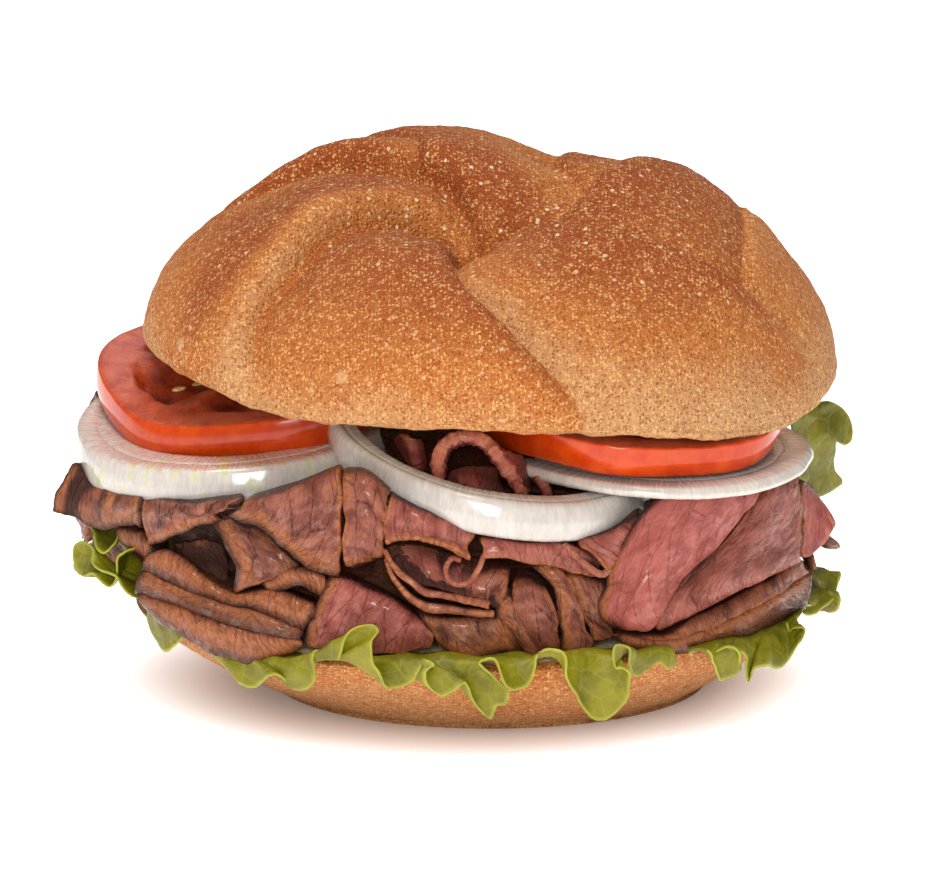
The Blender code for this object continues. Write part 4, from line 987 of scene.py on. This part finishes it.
# The slices round the sides and the back hang in rows from the pile, drawn by a seeded rule, and
# each leaves the pile level and follows arcs of (length, turn down) like the ones in front.
BACK_ROWS = [
    {"count": 9, "from": 92, "to": 268, "height": 25.0, "reach": 0.94},
    {"count": 9, "from": 96, "to": 268, "height": 30.0, "reach": 0.95},
    {"count": 9, "from": 98, "to": 270, "height": 35.0, "reach": 0.96},
    {"count": 8, "from": 100, "to": 270, "height": 40.0, "reach": 0.95},
]
BACK_PATHS = [
    [(5, 74), (5, 0)],
    [(6, 60), (4, 25), (2, -30)],
    [(4, 50), (4, 40), (2, 40)],
    [(6, 30), (4, 50)],
]
SLICE_LEAD, SLICE_DISH, REST_Z, REST_SOFT, ARC_STEPS = 13, 0.012, 19.5, 1.5, 24


def stations(path, count):
    """Places along arcs of (length, turn down): how far forward, how far up, and the heading."""
    forward, up, heading = [0.0], [0.0], [0.0]
    for length, turn in path:
        for _ in range(ARC_STEPS):
            angle = heading[-1] + math.radians(turn) / ARC_STEPS
            middle = (heading[-1] + angle) / 2
            forward.append(forward[-1] + length / ARC_STEPS * math.cos(middle))
            up.append(up[-1] - length / ARC_STEPS * math.sin(middle))
            heading.append(angle)
    wanted = np.linspace(0, len(forward) - 1, count)
    return [np.interp(wanted, np.arange(len(forward)), values) for values in (forward, up, heading)]


def hung_slice(cut, down, across):
    """The middle surface of a slice that leaves the pile at "at", heading "face"."""
    face, tilt = math.radians(cut["face"]), math.radians(cut["tilt"])
    ahead = np.array([math.sin(face), -math.cos(face), 0])
    level, up_right = np.array([math.cos(face), math.sin(face), 0]), np.array([0, 0, 1.0])
    right = level * math.cos(tilt) + up_right * math.sin(tilt)
    above = up_right * math.cos(tilt) - level * math.sin(tilt)
    forward, up, heading = stations([(SLICE_LEAD, 0)] + cut["path"], down)
    share = np.linspace(0, 1, down)[:, None]
    w = np.linspace(-1, 1, across)[None, :]
    offset = w * cut["width"] / 2 * (1 - 0.3 * np.clip((share - 0.7) / 0.3, 0, 1) ** 2)
    wave = np.sin(w * cut["waves"] + cut["start"]) * 1.0 * share ** 1.5
    f = forward[:, None] - SLICE_LEAD - SLICE_DISH * offset ** 2 + wave * np.sin(heading)[:, None]
    u = up[:, None] + wave * np.cos(heading)[:, None]
    return np.array(cut["at"]) + ahead * f[..., None] + above * u[..., None] + right * offset[..., None]


draw = random.Random(29)
behind = Pile()
for row in BACK_ROWS:
    step = (row["to"] - row["from"]) / row["count"]
    for i in range(row["count"]):
        angle = row["from"] + step * (i + 0.5) + draw.uniform(-5, 5)
        turn = math.radians(angle)
        at = (PILE_MIDDLE[0] + PILE_HALF[0] * row["reach"] * math.sin(turn),
              PILE_MIDDLE[1] - PILE_HALF[1] * row["reach"] * math.cos(turn),
              row["height"] + draw.uniform(-1.5, 1.5))
        cut = {"at": at, "face": angle, "width": draw.uniform(22, 36), "tilt": draw.uniform(-14, 14),
               "path": draw.choice(BACK_PATHS), "waves": draw.uniform(3, 7), "start": draw.uniform(0, 6)}
        edge = draw.choice([(0, 1.6, 0, 0), (0, 2.4, 1, 0), (0, 0.5, 0, 1.5), (0, 3, 1, 1)])
        hung = hung_slice(cut, 30, 40)
        hung[..., 2] = REST_Z + np.logaddexp(0, (hung[..., 2] - REST_Z) / REST_SOFT) * REST_SOFT
        add_slice(behind, hung, draw.choice([0.1, 0.3, 0.5, 0.8]), edge, SLICE_THICK, 60 + behind.count % 97)

# Painted shade, as in front: the slices darken where they lie behind their neighbours.
behind.crevices()
slices_back = behind.piece("roast_beef_back", beef.material)
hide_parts("roast_beef")
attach(slices_back, "root")

# The middle of the pile, where the slices lie pressed together and fill the rings.
CORE_SHARE, CORE_LOW, CORE_HIGH = 0.84, 19.0, 45.5
CORE_SIDE = [(0.02, 1), (0.5, 1), (0.75, 0.97), (0.9, 0.86), (0.97, 0.6), (0.94, 0.35), (1.0, 0.12),
             (0.9, 0), (0.5, 0), (0.02, 0)]
levels = spline(CORE_SIDE, np.linspace(0, 1, 70))
turns = np.linspace(0, 2 * math.pi, 260, endpoint=False)
rise = CORE_LOW + np.clip(levels[:, 1:], 0, 1) * (CORE_HIGH - CORE_LOW)
points = np.stack([levels[:, :1] * np.cos(turns) * PILE_HALF[0] * CORE_SHARE,
                   levels[:, :1] * np.sin(turns) * PILE_HALF[1] * CORE_SHARE,
                   np.repeat(rise, len(turns), axis=1)], -1)
outward = points[..., :2] / np.maximum(np.linalg.norm(points[..., :2], axis=2), 1)[..., None]
layered = np.sin(points[..., 2] * 1.9 + lumps(points, 9, 12) * 5)
wall = np.clip((points[..., 2] - CORE_LOW) / 3, 0, 1) * np.clip((CORE_HIGH - points[..., 2]) / 3, 0, 1)
points[..., :2] += outward * ((lumps(points, 12, 8) * 2 + layered * 0.8) * wall)[..., None]
points[..., 2] += (lumps(points, 6, 13) * 1.1 - 0.6) * (levels[:, 1:] > 0.9)
points[..., :2] += PILE_MIDDLE
flat = points.reshape(-1, 3)
# The middle is painted in shade all over: its "deep" is held at 0.55, which darkens it like the crevices.
facts = {"browned": 0.5 + 0.4 * lumps(flat, 5, 14), "pink": np.clip(0.4 + lumps(flat, 8, 15), 0, 1),
         "fibre": flat, "deep": np.full(len(flat), 0.55)}
faces = grid_faces(len(levels), len(turns), around=True, flip=True).tolist()
core = new_piece("roast_beef_middle", flat, faces, facts, beef.material)
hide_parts("roast_beef")
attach(core, "root")


# The onion rings: crisp white rings cut across the bulb, with wet faces, faint green lines that run
# from root to tip on the outside, and the next layer's line on the cut face.
ONIONS = [
    {"node": "onion_left", "at": (-43.2, -8.5, 40.4), "radius": 28.8, "high": 7.2, "wall": 9,
     "roll": 5, "pitch": 3, "lift": 3, "green": 1.0},
    {"node": "onion_middle", "at": (0.5, -25, 42.4), "radius": 29, "high": 6.7, "wall": 4.8,
     "roll": -9, "pitch": 9, "arc": (160, 375), "green": 0.0},
    {"node": "onion_right", "at": (27.3, -20.5, 44.4), "radius": 28, "high": 2.2, "wall": 10,
     "droop": 1.8, "toward": 35, "green": 0.1},
    {"node": "onion_back", "at": (-8, 31, 40.4), "radius": 23, "high": 5, "wall": 5.5, "green": 0.5},
]
RING_STEPS, RING_END = 300, 0.03

onion = new_finish("onion")
ring_spot = onion.places("round")
streaky = onion.node("Mapping", {"vector_type": "POINT"}, Vector=ring_spot, Scale=(1.0, 0.12, 0.3)).outputs[0]
streaks = onion.noise(streaky, 0.55, 3, 0.6)
fine_streaks = onion.noise(streaky, 2.2, 2, 0.5)
flesh = onion.blend(onion.ramp(streaks, 0.35, 0.65), paint(196, 187, 178), paint(208, 199, 191))
thread = onion.math("MULTIPLY", onion.ramp(fine_streaks, 0.55, 0.75), 0.16)
flesh = onion.blend(thread, flesh, paint(200, 188, 168))
green_line = onion.math("MULTIPLY", onion.ramp(streaks, 0.55, 0.62), onion.fact("green"))
flesh = onion.blend(onion.math("MULTIPLY", green_line, 0.75), flesh, paint(190, 196, 130))
juice_cloud = onion.noise(onion.spot, 900, 3, 0.7)
juice = onion.math("ADD", onion.fact("juice"), onion.math("MULTIPLY_ADD", juice_cloud, 1.0, -0.5))
flesh = onion.blend(onion.math("MULTIPLY", onion.ramp(juice, 0.45, 0.9), 0.6), flesh, paint(200, 112, 84))
uneven = onion.math("MULTIPLY", onion.noise(onion.spot, 700, 2), 0.4)
onion_relief = onion.math("ADD", onion.math("MULTIPLY", fine_streaks, 0.6), uneven)
onion.look(Base_Color=flesh, Roughness=onion.ramp(fine_streaks, 0.3, 0.7, 0.16, 0.34),
           Coat_Weight=0.5, Coat_Roughness=0.06, Normal=onion.bump(0.1, 0.0004, onion_relief),
           Subsurface_Weight=0.35, Subsurface_Radius=(0.004, 0.0035, 0.0025), Subsurface_Scale=0.6)


def lean(points, item):
    """Leans a flat piece, lets its outer side droop, and puts it in its place."""
    toward = math.radians(item.get("toward", 0))
    out = points[..., 0] * math.sin(toward) - points[..., 1] * math.cos(toward)
    points = points.copy()
    points[..., 2] -= item.get("droop", 0) * (np.clip(out, 0, None) / item["radius"]) ** 2
    corner = np.clip((points[..., 1] * 0.6 - points[..., 0] * 0.8) / item["radius"], 0, 1)
    points[..., 2] += item.get("lift", 0) * corner ** 2
    points[..., 2] += points[..., 0] * math.tan(math.radians(item.get("roll", 0)))
    points[..., 2] += points[..., 1] * math.tan(math.radians(item.get("pitch", 0)))
    return points + item["at"]


def ring_section(outer, inner, high):
    """The outline of a ring's cut, from its outer foot round to its inner one."""
    middle = (outer + inner) / 2
    return np.array([(outer - 1.3, 0.0), (outer - 0.55, high * 0.12), (outer, high * 0.48),
                     (outer - 0.5, high * 0.86), (outer - 1.2, high), (middle + 0.3, high),
                     (middle, high - 0.35), (middle - 0.3, high), (inner + 0.4, high), (inner, high - 0.4),
                     (inner + 0.3, high / 2), (inner, 0.4), (inner + 0.4, 0.0), (middle, 0.0)])


for item in ONIONS:
    outer, high = item["radius"], item["high"]
    section = ring_section(outer, outer - item["wall"], high)
    shape = spline(np.vstack([section, section[:1]]), np.linspace(0, 1, 61))[:-1]
    start, end = (math.radians(angle) for angle in item.get("arc", (0, 360)))
    whole = "arc" not in item
    turns = np.linspace(start, end, RING_STEPS, endpoint=not whole)
    wobble = 1 + 0.018 * np.sin(2 * turns + item["radius"]) + 0.01 * np.sin(3 * turns)
    cap = np.ones(RING_STEPS)
    if not whole:
        from_end = np.clip(np.minimum(turns - start, end - turns) / RING_END, 0, 1)
        cap = np.sqrt(np.clip(1 - (1 - from_end) ** 2, 0.0, 1))
    centre = shape.mean(axis=0)
    local = centre + (shape[None] - centre) * np.maximum(cap, 0.02)[:, None, None]
    radius = local[..., 0] * wobble[:, None]
    points = np.stack([radius * np.cos(turns)[:, None], radius * np.sin(turns)[:, None], local[..., 1]], -1)
    spread = np.stack([np.repeat(turns[:, None] * outer, len(shape), 1), local[..., 0], local[..., 1]], -1)
    radial = np.stack([np.cos(turns), np.sin(turns), np.zeros(RING_STEPS)], -1)[:, None, :]
    swell = lumps(points, 6, 21) * 0.25 + lumps(points, 1.6, 22) * 0.06
    points = lean(points + radial * swell[..., None], item)
    faces = grid_faces(RING_STEPS, len(shape), around=True).tolist()
    j = np.arange(len(shape))
    last = (RING_STEPS - 1) * len(shape) + j
    if whole:
        faces += np.stack([last, np.roll(last, -1), np.roll(j, -1), j], -1).tolist()
    else:
        faces += [j[::-1].tolist(), last.tolist()]
    juice = np.clip((local[..., 1] / high - 0.55) / 0.5, 0, 1) * (0.7 if item["green"] > 0.5 else 0.45)
    facts = {"green": np.full(juice.size, item["green"]), "juice": juice.ravel(),
             "round": spread.reshape(-1, 3)}
    ring = new_piece(item["node"] + "_ring", points.reshape(-1, 3), faces, facts, onion.material)
    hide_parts(item["node"])
    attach(ring, "root")


# The tomato slices: a firm wall under a thin glossy skin, with seed rooms between the ribs, full of
# juice and seeds.
TOMATOES = [
    {"node": "tomato_left", "at": (-38.5, 0, 49.8), "radius": 29, "high": 6.6, "turn": 12,
     "droop": 3, "toward": -30, "pitch": 4, "roll": 5, "lift": 3.5},
    {"node": "tomato_right", "at": (24, -20, 48.4), "radius": 27.5, "high": 5.8, "turn": 40,
     "droop": 2.8, "toward": 30, "taper": 0.07},
    {"node": "tomato_back", "at": (11, 35, 48.5), "radius": 21, "high": 6.2, "turn": 70,
     "droop": 2, "toward": 170},
]
TOMATO_SIDE = [(0.01, 1), (0.28, 1), (0.5, 1), (0.7, 1), (0.84, 1), (0.94, 1), (0.975, 0.99), (0.99, 0.93),
               (1.008, 0.5), (0.99, 0.07), (0.975, 0.01), (0.94, 0), (0.84, 0), (0.5, 0), (0.01, 0)]
SEED_ROOMS, ROOM_DEPTH, GEL_DIP = 6, 1.8, 0.6
SEEDS, SEED_HALF, SEED_STEPS = 26, (1.3, 0.7, 0.35), (9, 12)

tomato = new_finish("tomato")
cloud = tomato.noise(tomato.spot, 260, 4, 0.6)
cells = tomato.noise(tomato.spot, 1500, 3, 0.7)
flesh = tomato.blend(tomato.ramp(cloud, 0.35, 0.65), paint(160, 54, 26), paint(186, 82, 50))
flesh = tomato.blend(tomato.math("MULTIPLY", tomato.ramp(cells, 0.5, 0.72), 0.35), flesh, paint(222, 128, 92))
gel = tomato.blend(tomato.ramp(cloud, 0.35, 0.65), paint(104, 20, 10), paint(170, 62, 20))
flesh = tomato.blend(tomato.fact("room"), flesh, gel)
skin = tomato.blend(tomato.ramp(cloud, 0.3, 0.7), paint(190, 52, 8), paint(206, 74, 14))
colour = tomato.blend(tomato.fact("skin"), flesh, skin)
tomato_relief = tomato.math("MULTIPLY", cells, tomato.math("SUBTRACT", 1.0, tomato.fact("skin")))
tomato.look(Base_Color=colour, Roughness=tomato.ramp(tomato.fact("skin"), 0, 1, 0.34, 0.16),
            Specular_IOR_Level=0.35, Coat_Weight=0.12, Coat_Roughness=0.06,
            Normal=tomato.bump(0.45, 0.0005, tomato_relief),
            Subsurface_Weight=0.1, Subsurface_Radius=(0.004, 0.001, 0.0006), Subsurface_Scale=0.5)

seed_coat = new_finish("tomato_seed")
seed_cloud = seed_coat.ramp(seed_coat.noise(seed_coat.spot, 1800, 2), 0.35, 0.65)
seed_colour = seed_coat.blend(seed_cloud, paint(226, 170, 96), paint(246, 214, 160))
seed_coat.look(Base_Color=seed_colour, Roughness=0.2, Coat_Weight=0.6)


def seed_room(share, turn):
    """How deep inside one of the seed rooms a place lies, from 0 to 1."""
    wave = (turn / (2 * math.pi) * SEED_ROOMS) % 1
    across = np.clip((0.5 - np.abs(wave - 0.5)) / 0.2 - 0.35, 0, 1)
    return across * np.clip((share - 0.22) / 0.08, 0, 1) * np.clip((0.80 - share) / 0.06, 0, 1)


draw = random.Random(5)
for item in TOMATOES:
    rings = spline(TOMATO_SIDE, np.linspace(0, 1, 130))
    turns = np.linspace(0, 2 * math.pi, 300, endpoint=False)
    share = np.repeat(rings[:, :1], len(turns), axis=1)
    level = np.repeat(rings[:, 1:], len(turns), axis=1)
    turned = np.repeat(turns[None] + math.radians(item["turn"]), len(rings), axis=0)
    uneven = 1 + 0.02 * np.cos(SEED_ROOMS * turned) + 0.015 * np.cos(2 * turned)
    radius = share * item["radius"] * uneven * (1 - item.get("taper", 0.02) * (1 - level))
    points = np.stack([radius * np.cos(turns), radius * np.sin(turns), level * item["high"]], -1)
    wavy = turned + lumps(points, 6, 31) * 0.12
    depth = seed_room(share + lumps(points, 5, 32) * 0.04, wavy)
    above, below = level > 0.97, level < 0.03
    points[..., 2] += (below * 1.0 - above) * depth * (ROOM_DEPTH + GEL_DIP)
    points[..., 2] += lumps(points, 2.2, 33) * 0.12 * (above | below)
    facts = {"room": np.clip(depth * 1.6, 0, 1).ravel(),
             "skin": np.clip((share - 0.974) / 0.012, 0, 1).ravel()}
    faces = grid_faces(len(rings), len(turns), around=True, flip=True).tolist()
    leant = lean(points, item).reshape(-1, 3)
    made = new_piece(item["node"] + "_slice", leant, faces, facts, tomato.material)
    tall, wide = np.meshgrid(np.linspace(0, math.pi, SEED_STEPS[0]),
                             np.linspace(0, 2 * math.pi, SEED_STEPS[1], endpoint=False), indexing="ij")
    long, across = SEED_HALF[0] * np.cos(tall), SEED_HALF[1] * np.sin(tall) * np.cos(wide)
    seeds = Pile()
    for _ in range(SEEDS):
        where = draw.uniform(0.28, 0.76) * item["radius"]
        room = (draw.randrange(SEED_ROOMS) + draw.uniform(0.3, 0.7)) / SEED_ROOMS
        spin = room * 2 * math.pi - math.radians(item["turn"])
        facing = spin + draw.uniform(-0.5, 0.5)
        seed = np.stack([long * math.cos(facing) - across * math.sin(facing),
                         long * math.sin(facing) + across * math.cos(facing),
                         SEED_HALF[2] * np.sin(tall) * np.sin(wide)], -1)
        seed += [where * math.cos(spin), where * math.sin(spin), item["high"] - ROOM_DEPTH - 0.4]
        seeds.add(lean(seed, item).reshape(-1, 3), grid_faces(*SEED_STEPS, around=True), {})
    scattered = seeds.piece(item["node"] + "_seeds", seed_coat.material)
    for piece in (made, scattered):
        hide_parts(item["node"])
        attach(piece, "root")


# The lettuce: soft yellow-green leaves laid on the heel. Their frilled rims hang over the crust, and
# each frill is a sheet between a plain root line under the meat and a rim that loops in and out.
LEAF_THICK, LEAF_WAVES, LEAF_ROUGH, LEAF_FREE, RIM_WIDE = 0.45, [(4.5, 0.5, 0), (1.8, 0.16, 2)], 0.45, 6, 0.45

lettuce = new_finish("lettuce")
cloud = lettuce.noise(lettuce.spot, 130, 4, 0.6)
pucker = lettuce.noise(lettuce.spot, 480, 3, 0.55)
veins = lettuce.borders(lettuce.spot, 260.0)
green = lettuce.blend(lettuce.ramp(cloud, 0.35, 0.65), paint(98, 95, 5), paint(132, 124, 13))
raised = lettuce.math("MULTIPLY", lettuce.ramp(pucker, 0.5, 0.75), 0.4)
green = lettuce.blend(raised, green, paint(142, 138, 30))
vein = lettuce.math("MULTIPLY", lettuce.ramp(veins, 0.05, 0.0), 0.14)
green = lettuce.blend(vein, green, paint(176, 172, 84))
green = lettuce.blend(lettuce.math("MULTIPLY", lettuce.fact("rim"), 0.75), green, paint(176, 176, 62))
sunk_veins = lettuce.math("MULTIPLY", lettuce.ramp(veins, 0.0, 0.12), 0.12)
leaf_relief = lettuce.math("ADD", lettuce.math("MULTIPLY", pucker, 0.8), sunk_veins)
lettuce.look(Base_Color=green, Roughness=0.46, Specular_IOR_Level=0.3,
             Normal=lettuce.bump(0.5, 0.0008, leaf_relief),
             Subsurface_Weight=0.2, Subsurface_Radius=(0.0015, 0.0018, 0.0003), Subsurface_Scale=0.5)


def add_leaf(pile, grid, seed, rims=(1,)):
    """One leaf: puckered, thin, with paler rims on the sides numbered in "rims"."""
    sides = edge_distances(grid)
    points, faces = thick_sheet(crumpled(grid, LEAF_WAVES, LEAF_ROUGH, LEAF_FREE, seed), LEAF_THICK)
    rim = np.max([np.exp(-(sides[k] / RIM_WIDE) ** 2) for k in rims], axis=0)
    pile.add(points, faces, {"rim": np.tile(rim.ravel(), 2)})


HEEL_SEEN_HALF = (59, 56)


def heel_side(x, y, out):
    """Where a pixel lies, this far out from the rim of the heel."""
    return seen(x, y, out, HEEL_SEEN_HALF, HEEL_SHIFT)


# Each shown leaf: its node, its root line and its looping rim, left to right.
SHOWN_LEAVES = [
    {"node": "lettuce_front",
     "root": [(222, 640, -6), (300, 646, -9), (400, 650, -10), (500, 650, -10), (600, 648, -9),
              (668, 640, -8)],
     "middle": [(220, 650, 2), (300, 656, 2), (400, 656, 2), (500, 655, 2), (600, 650, 2), (670, 646, 2)],
     "rim": [(216, 652, 1.5), (228, 666, 2.6), (243, 681, 2.8), (256, 686, 2.2), (266, 678, 3.4),
              (276, 673, 4.6), (288, 677, 3.4), (295, 686, 2.6), (306, 686, 3.4), (314, 683, 4.6),
              (318, 672, 5.6), (316, 656, 5), (322, 648, 4), (336, 656, 4.6), (344, 652, 6.6),
              (347, 634, 7.4), (358, 624, 7.4), (374, 621, 7), (382, 628, 8), (374, 638, 9), (375, 654, 8),
              (382, 668, 6), (388, 683, 5), (402, 684, 4), (416, 677, 5), (422, 663, 7), (428, 655, 8.5),
              (436, 661, 8), (427, 668, 6.5), (430, 684, 4.5), (443, 693, 3.6), (456, 685, 4.6),
              (466, 679, 5.6), (473, 693, 4.4), (481, 706, 3.4), (490, 714, 3), (496, 703, 4.2),
              (507, 700, 5.4), (508, 688, 6.6), (498, 677, 6), (484, 666, 5), (478, 659, 5),
              (484, 654, 6.4), (494, 656, 7.8), (498, 668, 8.8), (505, 684, 8.2), (520, 685, 6.6),
              (530, 676, 5.6), (536, 652, 4.6), (541, 645, 5.4), (553, 645, 6.6), (566, 654, 7.6),
              (567, 676, 6.6), (574, 692, 5.2), (585, 709, 4.2), (597, 717, 4.2), (612, 712, 5),
              (624, 697, 6.6), (628, 676, 8), (621, 667, 9), (612, 666, 8.4), (611, 646, 7.4),
              (618, 641, 6.4), (626, 646, 5.4), (625, 662, 4.4), (631, 675, 3.4), (642, 670, 2.6),
              (656, 660, 2.6), (665, 667, 3), (675, 660, 2)]},
    {"node": "lettuce_right",
     "root": [(686, 640, -7), (730, 630, -8), (770, 618, -9), (800, 600, -10)],
     "middle": [(686, 646, 3), (730, 638, 4), (770, 626, 4.5), (800, 610, 4)],
     "rim": [(686, 652, 3), (697, 647, 4.6), (708, 650, 6), (712, 664, 5.2), (718, 678, 4),
              (728, 676, 4.6), (738, 668, 6.4), (736, 652, 8.4), (724, 646, 8), (712, 650, 6.4),
              (722, 645, 6), (740, 652, 8.6), (742, 668, 8.8), (745, 681, 8), (750, 668, 9.4),
              (762, 664, 11), (777, 668, 11), (786, 658, 12.6), (795, 642, 14.4), (801, 629, 14),
              (790, 628, 12.6), (786, 631, 11), (783, 620, 9)]},
    {"node": "lettuce_front_left",
     "root": [(196, 596, -8), (205, 612, -8), (212, 622, -8)],
     "middle": [(158, 604, 1), (178, 616, 2), (196, 626, 1.5)],
     "rim": [(150, 606, 1), (151, 622, 2), (158, 641, 3), (168, 651, 3.4), (180, 643, 3), (187, 636, 2.4),
              (196, 632, 1)]},
    {"node": "lettuce_left",
     "root": [(170, 520, -14), (176, 545, -10), (180, 575, -7), (182, 600, -6)],
     "middle": [(120, 528, -3), (126, 548, -1), (136, 572, 2), (158, 598, 2)],
     "rim": [(90, 526, -3), (95, 532, 0), (96, 545, 3), (106, 552, 5), (116, 545, 6), (124, 533, 5),
              (138, 535, 7), (141, 546, 9.6), (128, 550, 10.6), (119, 560, 9.6), (119, 578, 8),
              (111, 586, 5.6), (100, 578, 3.6), (92, 572, 3), (84, 576, 1), (76, 567, 0), (73, 556, -1),
              (74, 545, -1.5), (84, 541, 0), (92, 548, 2), (93, 562, 4), (103, 568, 6.4), (116, 574, 9),
              (124, 586, 9.6), (134, 596, 8.6), (146, 597, 6.4), (150, 606, 3)]},
]

leaves = {}
for number, leaf in enumerate(SHOWN_LEAVES):
    across = 26 * len(leaf["rim"]) // 4
    rows = [[heel_side(*place) for place in leaf[part]] for part in ("root", "middle", "rim")]
    leaves.setdefault(leaf["node"], Pile())
    add_leaf(leaves[leaf["node"]], loft(rows, 26, across), 100 + number * 5)

# The leaf behind, which the photograph doesn't show. It lies level on the heel, then its frill hangs
# down outside, more where it swings out and less towards both ends.
BACK_LEAF = {"from": 74, "to": 246, "reach": 6.5, "hang": 50, "swing": 38, "frill": 15}
LEAF_INNER, LEAF_RIM, LEAF_LEVEL = 46, 59.2, 18.0
frills = round(LEAF_RIM * math.radians(BACK_LEAF["to"] - BACK_LEAF["from"]) / BACK_LEAF["frill"])
share = np.linspace(0, 1, frills * 26)
wave = 2 * math.pi * frills * share
slow = np.sin(wave * 0.37 + 5) + 0.6 * np.sin(wave * 0.61 + 50)
close = np.clip(np.minimum(share, 1 - share) / 0.08, 0, 1)
length = BACK_LEAF["reach"] * (0.9 + 0.2 * slow) * (0.35 + 0.65 * close)
fall = np.radians(BACK_LEAF["hang"] + BACK_LEAF["swing"] * np.sin(wave + 0.8 * slow))
turn = np.radians(BACK_LEAF["from"] + (BACK_LEAF["to"] - BACK_LEAF["from"]) * share)
grid = []
for out in np.concatenate([[-1.0, -0.5], np.linspace(0, 1, 24)]):
    bend = fall * np.minimum(1, np.maximum(out, 0) + 0.35)
    radius = LEAF_RIM + (length * out * np.cos(bend) + 0.3 if out >= 0 else (LEAF_RIM - LEAF_INNER) * out)
    height = LEAF_LEVEL - (length * out * np.sin(bend) if out >= 0 else 0 * turn)
    angle = turn + 2.4 * max(out, 0) * np.sin(wave * 2 + slow) / radius
    grid.append(np.stack([radius * np.sin(angle) + HEEL_SHIFT,
                          -radius * np.cos(angle) * HEEL_DEPTH / HEEL_WIDTH, height], -1))
leaves["lettuce_back"] = Pile()
add_leaf(leaves["lettuce_back"], np.array(grid), 140)

# The leaf that rises at the right beside the rings and hangs down outside.
UPPER_LEAF_ROOT = [(786, 408, 4), (790, 422, 5), (792, 440, 6), (790, 460, 6), (786, 474, 5)]
UPPER_LEAF_MIDDLE = [(808, 406, 10), (822, 420, 12), (824, 440, 11), (818, 462, 12), (806, 482, 10)]
UPPER_LEAF_RIM = [(816, 404, 13), (832, 402, 15), (845, 408, 17), (854, 424, 18), (855, 441, 17),
                  (847, 446, 15), (839, 442, 14), (836, 456, 15), (838, 471, 17), (845, 483, 18),
                  (834, 492, 16), (819, 498, 13), (806, 489, 11), (794, 478, 9)]
rows = [[at_depth(*place) for place in row] for row in (UPPER_LEAF_ROOT, UPPER_LEAF_MIDDLE, UPPER_LEAF_RIM)]
leaves["lettuce_upper"] = Pile()
add_leaf(leaves["lettuce_upper"], loft(rows, 34, 70), 150, rims=(1, 2, 3))

for node, pile in leaves.items():
    piece = pile.piece(node + "_leaf", lettuce.material)
    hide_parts(node)
    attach(piece, "root")
